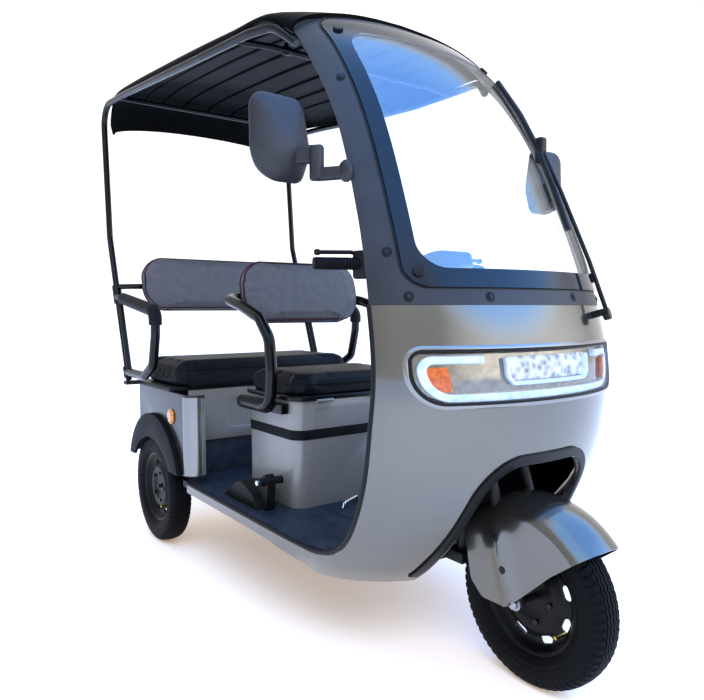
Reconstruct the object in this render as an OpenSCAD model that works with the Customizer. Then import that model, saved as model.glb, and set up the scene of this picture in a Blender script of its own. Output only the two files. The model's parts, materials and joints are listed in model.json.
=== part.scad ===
// Three-wheeled electric passenger tricycle with a windscreen, a canopy roof,
// a driver's seat and a rear bench. Lengths are in millimetres.
// The vehicle faces +X, +Y is its left side and it stands on the ground at Z = 0.
// The modules measure X from the front axle. Every node is shifted by origin_shift
// so that the origin lies below the middle of the whole vehicle.

/* [Wheels] */
// Distance between the front and the rear axle
wheelbase = 1510; // [1400:5:1650]
// Distance between the middles of the rear tyres
track = 720; // [690:5:740]
// Outer diameter of a tyre
tyre_od = 415; // [405:1:425]
// Width of a tyre
tyre_w = 82; // [74:1:86]
// Diameter of the rim where the tyre sits
rim_d = 262; // [250:1:270]
// Radius of the front and rear stub axles
axle_r = 8; // [6:0.5:10]

/* [Steering] */
// Lean of the steering axis behind the vertical, in degrees
rake = 18; // [14:1:22]
// How far the front axle lies ahead of the steering axis
fork_offset = 45; // [30:1:60]
// Distance from the middle of the front wheel to each fork leg
fork_half = 61; // [60:0.5:64]
// Radius of a fork leg
fork_r = 14; // [11:0.5:15]
// Half of the handlebar's width
bar_half = 310; // [280:5:330]
// Height of the handlebar grips
bar_z = 1010; // [980:5:1040]

/* [Front shell] */
// Height of the shell's lower edge
shell_bottom = 228; // [222:1:240]
// Height of the shell's upper edge, where the windscreen frame starts
shell_top = 897; // [885:1:910]
// Wall of the front shell
shell_wall = 10; // [6:1:14]
// Half of the wheel arch's width at the ground end of its sides
arch_half = 216; // [206:1:226]
// Height of the wheel arch's flat top
arch_top = 536; // [530:1:545]
// Radius of the wheel arch's upper corners
arch_corner = 98; // [80:1:110]

/* [Windscreen and roof] */
// Wall of the windscreen frame
frame_wall = 14; // [10:1:18]
// Thickness of the windscreen panel
glass_t = 4; // [3:0.5:6]
// Wall of the moulded roof
roof_wall = 12; // [8:1:16]
// Distance the roof reaches behind the rear axle
roof_overhang = 415; // [400:5:440]

/* [Seats] */
// Height of the floor's upper face
floor_z = 285; // [278:1:292]
// Thickness of the floor
floor_t = 23; // [18:1:26]
// Half of the floor's width
floor_half = 380; // [374:1:384]
// Front face of the driver's seat box
box_front = -700; // [-720:5:-690]
// Length of the driver's seat box
box_len = 320; // [300:5:340]
// Half of the seat box's width
box_half = 240; // [225:5:245]
// Height of the seat box's upper edge
box_top = 612; // [600:1:620]
// Thickness of the driver's cushion
cushion_t = 74; // [60:1:90]
// Front edge of the rear bench cushion
bench_front = -1290; // [-1310:5:-1280]
// Depth of the rear bench cushion
bench_len = 370; // [350:5:380]
// Half of the rear bench's width
bench_half = 372; // [350:1:378]
// Height of the deck that carries the bench
deck_z = 596; // [590:1:600]
// Thickness of the bench cushion
bench_t = 88; // [70:1:100]
// Radius of the seat frames' tubes
tube_r = 18; // [15:0.5:19]

/* [Hidden] */

// Clearance between pieces that touch but are not joined
gap = 0.3;
// Clearance between neighbouring sheets of the curved front
skin_gap = 1.6;
// Radial clearance of a wheel's bore on its stub axle
run = 0.05;
wheel_r = tyre_od / 2;
rear_x = -wheelbase;
roof_rear = rear_x - roof_overhang;
origin_shift = (-roof_rear - wheel_r) / 2;
steer_x = -fork_offset;
axle_drop = fork_offset * sin(rake);
axle_fore = fork_offset * cos(rake);
box_rear = box_front - box_len;
bench_rear = bench_front - bench_len;
deck_t = 14;

// Small helpers

function flat(rows) = [for (row = rows) for (p = row) p];
function tris(a, b, c, d) = [[a, b, c], [a, c, d]];
function unit(v) = v / norm(v);

// Smooth value at position s in a table whose first column rises, taken from column c.
function slope(t, i, c) =
    i == 0 ? (t[1][c] - t[0][c]) / (t[1][0] - t[0][0])
    : i == len(t) - 1 ? (t[i][c] - t[i - 1][c]) / (t[i][0] - t[i - 1][0])
    : (t[i + 1][c] - t[i - 1][c]) / (t[i + 1][0] - t[i - 1][0]);
function span(t, s, i = 0) = i >= len(t) - 2 || s < t[i + 1][0] ? i : span(t, s, i + 1);
function smooth(t, s, c) =
    let (i = span(t, s), h = t[i + 1][0] - t[i][0], u = (s - t[i][0]) / h)
    (2 * u * u * u - 3 * u * u + 1) * t[i][c] + (u * u * u - 2 * u * u + u) * h * slope(t, i, c)
    + (3 * u * u - 2 * u * u * u) * t[i + 1][c] + (u * u * u - u * u) * h * slope(t, i + 1, c);

// Closed solid between two grids of points of the same size, outer and inner.
module sheet(outer, inner) {
    rows = len(outer);
    cols = len(outer[0]);
    n = rows * cols;
    faces = concat(
        [for (r = [0:rows - 2], c = [0:cols - 2],
            f = tris(r * cols + c, (r + 1) * cols + c, (r + 1) * cols + c + 1, r * cols + c + 1)) f],
        [for (r = [0:rows - 2], c = [0:cols - 2],
            f = tris(n + r * cols + c, n + r * cols + c + 1, n + (r + 1) * cols + c + 1,
                     n + (r + 1) * cols + c)) f],
        [for (c = [0:cols - 2], f = tris(c, c + 1, n + c + 1, n + c)) f],
        [for (c = [0:cols - 2], k = [(rows - 1) * cols],
            f = tris(k + c + 1, k + c, n + k + c, n + k + c + 1)) f],
        [for (r = [0:rows - 2], k = [r * cols],
            f = tris(k + cols, k, n + k, n + k + cols)) f],
        [for (r = [0:rows - 2], k = [r * cols + cols - 1],
            f = tris(k, k + cols, n + k + cols, n + k)) f]
    );
    polyhedron(concat(flat(outer), flat(inner)), faces);
}

// Rectangle with round corners, as true arcs.
module rounded(w, h, r) {
    square([w - 2 * r, h], center = true);
    square([w, h - 2 * r], center = true);
    for (x = [-1, 1], y = [-1, 1])
        translate([x * (w / 2 - r), y * (h / 2 - r)]) circle(r, $fn = 32);
}

// Straight rod between two points.
module rod(a, b, r) {
    z = unit(b - a);
    x = unit(cross(abs(z.z) > 0.9 ? [1, 0, 0] : [0, 0, 1], z));
    y = cross(z, x);
    multmatrix([[x.x, y.x, z.x, a.x], [x.y, y.y, z.y, a.y], [x.z, y.z, z.z, a.z]])
        cylinder(r = r, h = norm(b - a), $fn = 32);
}

// Points along a path whose inner corners are rounded to arcs of radius bend.
bend_steps = 4;
function corner(a, p, b, bend) =
    let (u = unit(p - a), v = unit(b - p), turn = acos(u * v), n = unit(v - u * (u * v)),
         c = p - u * bend * tan(turn / 2) + n * bend)
    [for (k = [0:bend_steps]) c + bend * (u * sin(turn * k / bend_steps) - n * cos(turn * k / bend_steps))];
function rounded_path(points, bend) =
    [for (i = [0:len(points) - 1])
        for (p = i == 0 || i == len(points) - 1 ? [points[i]]
            : corner(points[i - 1], points[i], points[i + 1], bend)) p];

// Round bar bent along points, swept as rings that are carried along the path.
bar_sides = 12;
function carried(dirs, i, m) =
    i == len(dirs) ? []
    : let (k = unit(m - dirs[i] * (m * dirs[i]))) concat([k], carried(dirs, i + 1, k));
module bent(points, r, bend) {
    path = rounded_path(points, bend);
    last = len(path) - 1;
    dirs = [for (i = [0:last]) unit(path[min(i + 1, last)] - path[max(i - 1, 0)])];
    first = unit(cross(dirs[0], abs(dirs[0].z) > 0.9 ? [1, 0, 0] : [0, 0, 1]));
    side = carried(dirs, 0, first);
    rings = [for (i = [0:last]) [for (k = [0:bar_sides - 1])
        let (turn = 360 * k / bar_sides)
        path[i] + r * (cos(turn) * side[i] + sin(turn) * cross(dirs[i], side[i]))]];
    n = bar_sides;
    faces = concat(
        [for (i = [0:last - 1], k = [0:n - 1],
            f = tris(i * n + k, (i + 1) * n + k, (i + 1) * n + (k + 1) % n, i * n + (k + 1) % n)) f],
        [[for (k = [0:n - 1]) k]],
        [[for (k = [n - 1:-1:0]) last * n + k]]);
    polyhedron(flat(rings), faces);
}

module both_sides() {
    children();
    mirror([0, 1, 0]) children();
}

// Extrudes an outline drawn in Y and Z along X, from x0 to x1.
module along_x(x0, x1) {
    translate([x0, 0, 0]) rotate([90, 0, 90]) linear_extrude(x1 - x0) children();
}

// Extrudes an outline drawn in X and Z along Y, from y0 to y1.
module along_y(y0, y1) {
    translate([0, y1, 0]) rotate([90, 0, 0]) linear_extrude(y1 - y0) children();
}

// Frame of the steering: Z along the steering axis, origin at the height of the front axle.
module steered() {
    translate([steer_x, 0, wheel_r]) rotate([0, -rake, 0]) children();
}

// Point on the steering axis at height z.
function on_axis(z) = [steer_x - (z - wheel_r) * tan(rake), 0, z];

// The curved front, shared by the shell, the windscreen and its frame.
// Each row is a level section: an arc of an ellipse from side to side.
// Columns: height, foremost X, half width of the ellipse, angle at which the arc ends
front_sections = [
    [222, -166, 370, 90],
    [262, -124, 386, 87],
    [300, -92, 396, 80],
    [340, -62, 405, 74],
    [400, -26, 416, 71],
    [510, 22, 427, 70],
    [620, 45, 430, 70],
    [750, 52, 430, 69],
    [900, 18, 429, 67],
    [1100, -60, 426, 63],
    [1350, -183, 420, 60],
    [1530, -310, 414, 60],
    [1640, -425, 408, 60],
    [1702, -525, 402, 60]
];
// Depth of the ellipse from its nose to its widest point
front_depth = 250;
// Plane behind the windscreen frame's header, where the roof starts
seam_x = -500;
frame_top = 1700;

// Point of the front at height z and angle a, set out by the distance out.
function front_point(z, a, out) =
    [smooth(front_sections, z, 1) + out - (front_depth + out) * (1 - cos(a)),
     (smooth(front_sections, z, 2) + out) * sin(a), z];
function front_end(z) = smooth(front_sections, z, 3);
function front_grid(z0, z1, rows, cols, out, limit) =
    [for (i = [0:rows]) let (z = z0 + (z1 - z0) * i / rows, end = min(limit, front_end(z)))
        [for (j = [-cols:cols]) front_point(z, end * j / cols, out)]];

// Curved wall of the front from height z0 to z1, between two distances out.
module front_wall(z0, z1, rows, out0, out1, limit = 90, cols = 9) {
    sheet(front_grid(z0, z1, rows, cols, out1, limit), front_grid(z0, z1, rows, cols, out0, limit));
}

// Outline of the wheel arch seen from the front, a rounded trapezoid grown by extra.
arch_foot = 150;
arch_mid = 77;
module arch_outline(extra = 0) {
    hull() {
        for (s = [-1, 1])
            translate([s * arch_mid, arch_top - arch_corner]) circle(arch_corner + extra, $fn = 64);
        translate([-arch_half - extra, arch_foot]) square([2 * (arch_half + extra), 1]);
    }
}

// Headlamp band: half width, lower and upper edge, and the radius of its lower and upper corners
lamp_half = 350;
lamp_low = 686;
lamp_top = 802;
lamp_z = (lamp_low + lamp_top) / 2;
lamp_low_r = 70;
lamp_top_r = 28;
module lamp_outline(inset = 0) {
    hull() for (s = [-1, 1]) {
        translate([s * (lamp_half - lamp_low_r), lamp_low + lamp_low_r]) circle(lamp_low_r - inset, $fn = 64);
        translate([s * (lamp_half - lamp_top_r), lamp_top - lamp_top_r]) circle(lamp_top_r - inset, $fn = 32);
    }
}

// Windscreen outline seen from the front: half widths at its lower and upper edge
glass_z0 = 936;
glass_z1 = 1612;
glass_half0 = 344;
glass_half1 = 326;
glass_corner = 46;
module screen_outline(inset) {
    r = glass_corner - inset / 2;
    z0 = glass_z0 + inset + r;
    z1 = glass_z1 - inset - r;
    y0 = glass_half0 - inset - r;
    y1 = glass_half1 - inset - r;
    polygon([[-y0, z0 - r], [y0, z0 - r], [y0 + r, z0], [y1 + r, z1], [y1, z1 + r],
             [-y1, z1 + r], [-y1 - r, z1], [-y0 - r, z0]]);
    for (s = [-1, 1]) {
        translate([s * y0, z0]) circle(r, $fn = 48);
        translate([s * y1, z1]) circle(r, $fn = 48);
    }
}
// Overlap of the windscreen on its frame
glass_lap = 34;

// Body panels and floor

rail_half = 230;
rail_w = 40;
rail_z = floor_z - floor_t - rail_w;
floor_front = -274;
floor_rear = -1330;
kick_x = -1372;
rear_rail_z = 318;
rail_end = -1672;
// Towing eye behind the rear cross member
tow_x = -1742;
tow_z = rear_rail_z + rail_w / 2;
tow_t = 12;
tow_r = 11;
// Foot of the down tube on the front cross member
head_foot_x = -242;
foot_h = 30;
head_z0 = 560;
head_z1 = 760;
head_r = 26;
stem_r = 15;

// Steel ladder under the floor: two rails and three cross members.
module ladder_frame() {
    color("#26272a") {
        for (s = [-1, 1]) translate([kick_x, s * rail_half - rail_w / 2, rail_z])
            cube([floor_front - kick_x, rail_w, rail_w]);
        for (x = [floor_front - rail_w, -700, -1235])
            translate([x, -rail_half, rail_z]) cube([rail_w, 2 * rail_half, rail_w]);
        translate([floor_front - 2, -30, rail_z]) cube([head_foot_x + 30 - floor_front, 60, foot_h]);
    }
}

// Raised rear rails with their uprights, cross members and the towing eye.
module rear_frame() {
    color("#26272a") difference() {
        union() {
            for (s = [-1, 1]) translate([0, s * rail_half - rail_w / 2, 0]) {
                translate([kick_x, 0, rail_z + rail_w]) cube([rail_w, rail_w, rear_rail_z - rail_z]);
                translate([rail_end, 0, rear_rail_z]) cube([kick_x + 1 - rail_end, rail_w, rail_w]);
            }
            for (x = [rail_end, -1480])
                translate([x, -rail_half, rear_rail_z]) cube([rail_w, 2 * rail_half, rail_w]);
            along_y(-tow_t / 2, tow_t / 2) {
                translate([tow_x, tow_z]) circle(24, $fn = 48);
                translate([tow_x, tow_z - 20]) square([rail_end + 4 - tow_x, 40]);
            }
        }
        translate([tow_x, 0, tow_z]) rotate([90, 0, 0]) cylinder(r = tow_r, h = 100, center = true, $fn = 48);
    }
}

// Head tube that carries the steering stem, on a bent down tube.
module steering_head() {
    color("#26272a") difference() {
        union() {
            bent([[head_foot_x, 0, rail_z + foot_h + 0.7], [head_foot_x + 6, 0, 490],
                  on_axis(head_z0 + 70)], 16, 90);
            rod(on_axis(head_z0), on_axis(head_z1), head_r);
        }
        rod(on_axis(head_z0 - 60), on_axis(head_z1 + 60), stem_r + run);
    }
}

// Ribbed floor between the leg shield and the rear box.
rib_count = 12;
// Half plan of the floor: narrow between the rear wheels and inside the front shell
floor_plan = [[floor_front, 332], [-330, 352], [-424, 358], [-434, floor_half], [-1250, floor_half], [-1250, 300],
              [floor_rear, 300]];
module floor_pan() {
    color("#1d1e21") {
        translate([0, 0, floor_z - floor_t]) linear_extrude(floor_t)
            polygon(concat(floor_plan,
                [for (i = [len(floor_plan) - 1:-1:0]) [floor_plan[i].x, -floor_plan[i].y]]));
        for (i = [0:rib_count - 1])
            translate([-660, -330 + i * 660 / (rib_count - 1) - 9, floor_z]) cube([330, 18, 3]);
    }
}

// Painted sill under each door opening, from the shell back to the rear wheel.
sill_h = 25;
sill_t = 14;
sill_front = -368;
module sill() {
    color("#55585a") translate([-1180, -floor_half - sill_t, floor_z - sill_h])
        cube([1180 + sill_front, sill_t - gap, sill_h]);
}

// Inner panel that closes the front towards the driver. It runs from the rear edges of
// the shell back around the steering column.
shield_t = 10;
shield_top = 850;
shield_cols = 8;
function shield_mid(z) = floor_front + gap + (z < 450 ? 0 : -(z - 450) * 0.19);
function shield_point(z, t, out) =
    let (side = front_point(z, front_end(z), -shell_wall - 0.5))
    [side.x + 4 + out + (shield_mid(z) - side.x - 4) * (1 - t * t), (side.y - 3 - 0.7 * (4 + out)) * t, z];
function shield_grid(z0, z1, rows, out) =
    [for (i = [0:rows]) [for (j = [-shield_cols:shield_cols])
        shield_point(z0 + (z1 - z0) * i / rows, j / shield_cols, out)]];
module leg_shield() {
    color("#1b1c1f") sheet(shield_grid(floor_z + gap, shield_top, 10, shield_t),
                           shield_grid(floor_z + gap, shield_top, 10, 0));
}

// Shelf between the leg shield and the windscreen, with a round opening for the steering stem.
dash_t = 12;
module dash() {
    z0 = shield_top + gap;
    out = -shell_wall - skin_gap;
    fore = front_grid(z0, z0 + dash_t, 1, shield_cols, out, 66);
    back = [for (i = [0:1]) [for (j = [-shield_cols:shield_cols])
        [shield_point(shield_top, j / shield_cols, 0).x, fore[i][j + shield_cols].y, z0 + dash_t * i]]];
    color("#18191b") difference() {
        sheet(fore, back);
        translate(on_axis(shield_top)) cylinder(r = 62, h = 100, center = true, $fn = 48);
    }
}

// Painted front shell with its wheel arch and the slot for the headlamp band.
module front_shell() {
    color("#8b8d8c") difference() {
        front_wall(shell_bottom, shell_top, 16, -shell_wall, 0);
        along_x(-500, 400) arch_outline();
        along_x(-160, 400) lamp_outline();
    }
}

// Rolled lip around the wheel arch.
module arch_lip() {
    color("#6f7272") intersection() {
        front_wall(shell_bottom, 620, 8, skin_gap, 8, 44, 8);
        along_x(-400, 300) difference() {
            arch_outline(24);
            arch_outline(2);
            translate([-400, -200]) square([800, 200 + shell_bottom + 20]);
        }
    }
}

// Headlamp band: dark tray, clear cover, white light guide and amber turn lamps.
module lamp_band(out0, out1, inset) {
    intersection() {
        front_wall(lamp_low - 4, lamp_top + 4, 5, out0, out1, 62, 12);
        along_x(-160, 200) lamp_outline(inset);
    }
}
module headlamp_housing() {
    color("#202225") difference() {
        lamp_band(-26, -3.5, gap);
        lamp_band(-22, 20, 3);
    }
}
module headlamp_lens() {
    color([0.85, 0.9, 0.95, 0.4]) lamp_band(-3.2, 2, gap);
}
// Width of the light guide, and how far from the middle its upper arms end
guide_w = 16;
guide_end = 205;
module light_guide() {
    color("#e8f0ff") intersection() {
        lamp_band(-21.5, -12, 5);
        along_x(-160, 200) difference() {
            lamp_outline(5);
            lamp_outline(5 + guide_w);
            translate([-guide_end, lamp_z]) square([2 * guide_end, lamp_top - lamp_z]);
        }
    }
}
turn_y = 292;
module turn_lamps() {
    color("#e07a10") intersection() {
        lamp_band(-21.5, -8, guide_w + 8);
        along_x(-160, 200) for (s = [-1, 1]) translate([s * turn_y, lamp_z]) rounded(66, 54, 12);
    }
}

// Textured frame around the windscreen: lower band, two pillars and header.
module windscreen_frame() {
    color("#2a2b2e") difference() {
        front_wall(shell_top + gap, frame_top, 20, -frame_wall, 0);
        along_x(-480, 300) screen_outline(glass_lap);
        translate([seam_x - 400, -600, 1000]) cube([400, 1200, 900]);
    }
}

// Clear windscreen panel, lapped over the frame from outside.
module windscreen() {
    color([0.6, 0.75, 0.9, 0.3]) intersection() {
        front_wall(glass_z0 - 10, glass_z1 + 10, 16, skin_gap, skin_gap + glass_t, 58, 9);
        along_x(-700, 300) screen_outline(0);
    }
}

// Wiper: pivot, arm and blade along the left edge of the windscreen.
wiper_y = 216;
wiper_z = 873;
// Columns: height, distance from the middle
wiper_arm = [[1010, 212], [1200, 208], [1312, 206]];
wiper_blade = [[1090, 184], [1200, 194], [1312, 204], [1425, 212], [1538, 220]];
function wiper_seat(z, y, out) = front_point(z, asin(y / smooth(front_sections, z, 2)), out);
module wiper() {
    color("#141416") {
        rod(wiper_seat(wiper_z, wiper_y, 3.5), wiper_seat(wiper_z, wiper_y, 34), 9);
        translate(wiper_seat(wiper_z, wiper_y, 38)) sphere(15, $fn = 32);
        bent(concat([wiper_seat(wiper_z, wiper_y, 38)],
                    [for (p = wiper_arm) wiper_seat(p[0], p[1], 26)]), 5, 60);
        bent([for (p = wiper_blade) wiper_seat(p[0], p[1], 19)], 7, 60);
    }
}

// Roof

// Columns: X, height of the crown, height of the lower edge, half width
roof_sections = [
    [-1925, 1680, 1632, 400],
    [-1900, 1742, 1668, 416],
    [-1840, 1786, 1728, 424],
    [-1760, 1796, 1742, 436],
    [-1600, 1794, 1728, 444],
    [-1190, 1768, 1683, 442],
    [-925, 1744, 1660, 432],
    [-750, 1726, 1651, 416],
    [-600, 1712, 1648, 398],
    [-545, 1706, 1628, 380],
    [-500, 1697, 1596, 362]
];
// Columns: part of the half width, part of the drop from the crown to the lower edge
roof_profile = [
    [0, 0],
    [0.28, 0.04],
    [0.52, 0.14],
    [0.72, 0.30],
    [0.87, 0.49],
    [0.96, 0.68],
    [0.995, 0.85],
    [1, 1]
];
roof_last = len(roof_profile) - 1;
function roof_x(i, rows) =
    let (u = i / rows, part = u < 0.3 ? u * u / 0.6 : 0.15 + (u - 0.3) * 0.85 / 0.7)
    roof_rear + (seam_x - 1 - roof_rear) * part;
// Point across the roof in column j of the profile, set in by the distance drop.
function roof_point(x, j, drop) =
    let (s = max(x, roof_rear) - roof_rear + roof_sections[0][0], crown = smooth(roof_sections, s, 1) - drop,
         edge = smooth(roof_sections, s, 2), half = smooth(roof_sections, s, 3) - drop, k = abs(j))
    [x, sign(j) * half * roof_profile[k][0], crown - (crown - edge) * roof_profile[k][1]];
function roof_grid(rows, drop) =
    [for (i = [0:rows]) [for (j = [-roof_last:roof_last]) roof_point(roof_x(i, rows), j, drop)]];
module roof() {
    color("#242528") sheet(roof_grid(26, 0), roof_grid(26, roof_wall));
}

// Canopy frame: a rail under each roof edge that bends down into the rear post.
post_y = 440;
post_r = 11;
post_foot = [-1650, post_y, deck_z + deck_t + post_r * 0.38];
post_knee = [-1862, post_y, 1190];
// Point on the lower part of the left rear post at height z
function post_at(z) = post_foot + (post_knee - post_foot) * (z - post_foot.z) / (post_knee.z - post_foot.z);
module canopy_frame() {
    color("#151517") {
        both_sides() {
            bent([[-503, 346, 1572], [-560, 382, 1624], [-660, 402, 1634], [-925, 424, 1648],
                  [-1190, 434, 1671], [-1600, 438, 1714], [-1780, 440, 1729]], post_r, 90);
            bent([[-1778, 440, 1729], [-1913, 440, 1740], post_knee, post_foot], post_r, 80);
        }
        rod([-720, -404, 1632], [-720, 404, 1632], 9);
        rod([-1700, -439, 1722], [-1700, 439, 1722], 9);
    }
}

// Mirrors

mirror_x = -372;
mirror_y = 482;
mirror_z = 1285;
mirror_cut = -8;
mirror_arm = [-300, 418];
function arm_at_z(z) = [mirror_arm.x, mirror_arm.y, z];
// Columns: distance outboard, height above the middle, radius
mirror_corners = [[36, 66, 34], [-42, 70, 28], [-44, -72, 28], [8, -38, 60]];
module mirror_housing() {
    color("#2b2c30") {
        translate([mirror_x, mirror_y, mirror_z]) difference() {
            hull() for (c = mirror_corners)
                translate([0, c[0], c[1]]) scale([0.62, 1, 1]) sphere(c[2], $fn = 24);
            translate([mirror_cut - 100, -200, -200]) cube([100, 400, 400]);
        }
        difference() {
            union() {
                rod([mirror_x + 10, mirror_y - 40, mirror_z - 40], arm_at_z(mirror_z - 48), 13);
                rod(arm_at_z(mirror_z - 100), arm_at_z(mirror_z - 34), 16);
                rod(arm_at_z(mirror_z - 84), [-240, 376, mirror_z - 88], 13);
                translate([-238, 378, mirror_z - 88]) sphere(30, $fn = 32);
            }
            front_wall(shell_top + gap, frame_top, 20, -60, 2 * gap);
        }
    }
}
module mirror_glass() {
    color("#c8d0d8") both_sides() translate([mirror_x + mirror_cut - gap, mirror_y, mirror_z])
        rotate([90, 0, -90]) linear_extrude(3) hull()
            for (c = mirror_corners) translate([-c[0], c[1]]) circle(c[2] - 6, $fn = 32);
}

// Driver's seat

// Hinge of the seat: its axis lies under the cushion's front edge
hinge_x = box_front + 5;
hinge_r = 6;
hinge_y = 110;
hinge_len = 60;
module hinge_barrels(r, spare) {
    both_sides() translate([hinge_x, hinge_y - spare, box_top]) rotate([-90, 0, 0])
        cylinder(r = r, h = hinge_len + 2 * spare, $fn = 48);
}
module seat_box() {
    wall = 8;
    color("#a9abad") {
        translate([(box_front + box_rear) / 2, 0, floor_z]) difference() {
            linear_extrude(box_top - floor_z) rounded(box_len, 2 * box_half, 40);
            translate([0, 0, -1]) linear_extrude(box_top - floor_z + 2)
                rounded(box_len - 2 * wall, 2 * box_half - 2 * wall, 40 - wall);
        }
        hinge_barrels(hinge_r, 0);
        both_sides() translate([box_front - 1, hinge_y, box_top - 24]) cube([4, hinge_len, 24]);
    }
}
band_z = 494;
band_h = 30;
module seat_box_band() {
    color("#3b3e42") translate([(box_front + box_rear) / 2, 0, band_z]) linear_extrude(band_h) difference() {
        rounded(box_len + 5, 2 * box_half + 5, 42.5);
        rounded(box_len + 2 * gap, 2 * box_half + 2 * gap, 40 + gap);
    }
}
module battery() {
    color("#303236") translate([box_rear + 30, 45 - box_half, floor_z])
        cube([box_len - 60, 2 * box_half - 90, 250]);
}
module driver_cushion() {
    color("#17181a") difference() {
        translate([(box_front + box_rear) / 2 - 4, 0, box_top]) {
            linear_extrude(16) rounded(box_len + 26, 2 * box_half + 16, 46);
            translate([0, 0, 16]) linear_extrude(cushion_t - 16) rounded(box_len + 34, 2 * box_half + 6, 56);
        }
        hinge_barrels(hinge_r + gap, gap);
    }
}
// Tube loop that stands beside the box and passes behind the backrest
arm_y = box_half + 36;
loop_foot_z = 588;
loop_back = [-1106, 930];
module driver_frame() {
    half_loop = [[box_rear + 60, -arm_y, loop_foot_z], [-793, -arm_y, loop_foot_z], [-782, -arm_y, 700],
                 [-794, -arm_y, 800], [-858, -arm_y, 864], [-980, -arm_y, 902],
                 [loop_back.x, -arm_y, loop_back.y]];
    color("#131315") {
        bent(concat(half_loop, [for (i = [len(half_loop) - 1:-1:0])
            [half_loop[i].x, -half_loop[i].y, half_loop[i].z]]), tube_r, 55);
        both_sides() translate([box_rear + 70, box_half + gap, loop_foot_z - 16])
            cube([220, arm_y - box_half - 10, 32]);
    }
}
back_tilt = 8;
bench_tilt = 10;
// Clearance of the backrest from the loop's bends, and the height of the backrest's middle
loop_clear = 6.2;
seat_back_z = 948;
// X at which a cushion leaned back by tilt, with its middle at height z, rests on a bar at x and bar_z0.
function lean_x(x, bar_z0, r, z, tilt) = x + (r + gap + sin(tilt) * (bar_z0 - z)) / cos(tilt);
module driver_backrest() {
    color("#33363c")
        translate([lean_x(loop_back.x, loop_back.y, tube_r + loop_clear, seat_back_z, back_tilt), 0, seat_back_z])
        rotate([0, -back_tilt, 0]) rotate([90, 0, 90]) linear_extrude(56) rounded(2 * box_half, 226, 92);
}

// Brake pedal on the right of the floor, with its bracket.
pedal_y = -box_half - 65;
module brake_pedal() {
    color("#1c1c1f") {
        along_y(pedal_y - 34, pedal_y + 34)
            polygon([[-1000, floor_z], [-768, floor_z], [-792, floor_z + 40], [-872, floor_z + 68],
                     [-905, floor_z + 62]]);
        along_y(pedal_y - 14, pedal_y + 14)
            polygon([[-790, floor_z], [-745, floor_z], [-732, floor_z + 96], [-752, floor_z + 110],
                     [-800, floor_z + 84], [-786, floor_z + 40]]);
        rod([-752, pedal_y - 34, floor_z + 88], [-752, pedal_y + 44, floor_z + 88], 12);
    }
}

// Rear body

side_front = -1150;
side_rear = -1690;
side_half = 398;
side_z0 = 312;
side_wall = 10;
pillar_in = 335;
rear_arch_r = 232;
module side_plan(inset) {
    depth = side_half - 140;
    translate([(side_front + side_rear) / 2, -side_half + depth / 2])
        rounded(side_front - side_rear - 2 * inset, depth - 2 * inset, 44 - inset);
}
module rear_side() {
    color("#8b8d8c") difference() {
        translate([0, 0, side_z0]) linear_extrude(deck_z - gap - side_z0) difference() {
            side_plan(0);
            side_plan(side_wall);
            translate([side_rear - 10, -pillar_in]) square([side_front - side_rear + 20, 300]);
        }
        translate([rear_x, 0, wheel_r]) rotate([90, 0, 0]) cylinder(r = rear_arch_r, h = 900, $fn = 96);
    }
}
flare_fore = 42;
flare_r = 272;
// Width of the flare outside the body, and the inner edge of the part that covers the tyre
flare_w = 20;
flare_in = [25, 37, 236];
module arch_flares() {
    over_tyre = track / 2 + tyre_w / 2 + 6 - side_half - gap;
    color("#2c2e32") both_sides() intersection() {
        translate([rear_x, side_half + gap, wheel_r]) rotate([-90, 0, 0]) difference() {
            translate([flare_fore, -20, 0]) cylinder(r = flare_r, h = flare_w, $fn = 96);
            translate([0, 0, -1]) cylinder(r = rear_arch_r, h = 1 + over_tyre, $fn = 96);
            translate([flare_in.x, flare_in.y, -1]) cylinder(r = flare_in.z, h = flare_w + 2, $fn = 96);
        }
        translate([rear_x + flare_fore - flare_r - 1, side_half, side_z0])
            cube([2 * flare_r + 2, flare_w + 2, flare_r]);
    }
}
module rear_box_front() {
    color("#9a9c9e") translate([-1320, 0, 0]) difference() {
        along_x(0, 10) translate([0, (405 + deck_z - gap) / 2]) square([660, deck_z - gap - 405], center = true);
        along_x(6, 20) translate([0, 500]) rounded(360, 110, 40);
    }
}
module toe_panel() {
    color("#151618") translate([floor_rear + 2, -300, floor_z]) cube([8, 600, 405 - floor_z]);
}
plate_z = 440;
plate_pitch = 140;
plate_hole_r = 3.5;
panel_z0 = rear_rail_z + rail_w + 6;
module rear_panel() {
    color("#8b8d8c") along_x(side_rear + 2, side_rear + 12) difference() {
        translate([0, (panel_z0 + deck_z - gap) / 2])
            square([2 * pillar_in - 2 * gap, deck_z - gap - panel_z0], center = true);
        for (y = [-1, 1]) translate([y * plate_pitch / 2, plate_z]) circle(plate_hole_r, $fn = 32);
    }
}
module bench_deck() {
    color("#1a1b1d") {
        translate([-1684, -404, deck_z]) cube([376, 808, deck_t]);
        translate([post_foot.x - 20, -post_y - 16, deck_z]) cube([40, 2 * post_y + 32, deck_t]);
    }
}
module bench_cushion() {
    color("#17181a") translate([(bench_front + bench_rear) / 2, 0, deck_z + deck_t])
        linear_extrude(bench_t) rounded(bench_len, 2 * bench_half, 40);
}
// Bar behind the bench's backrest, and the height of the backrest's middle
back_bar_x = -1702;
back_bar_z = 985;
back_bar_r = 11;
bench_back_z = 992;
module bench_backrest() {
    color("#33363c")
        translate([lean_x(back_bar_x, back_bar_z, back_bar_r, bench_back_z, bench_tilt), 0, bench_back_z])
        rotate([0, -bench_tilt, 0]) rotate([90, 0, 90]) linear_extrude(60) rounded(2 * bench_half + 4, 232, 94);
}
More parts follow.
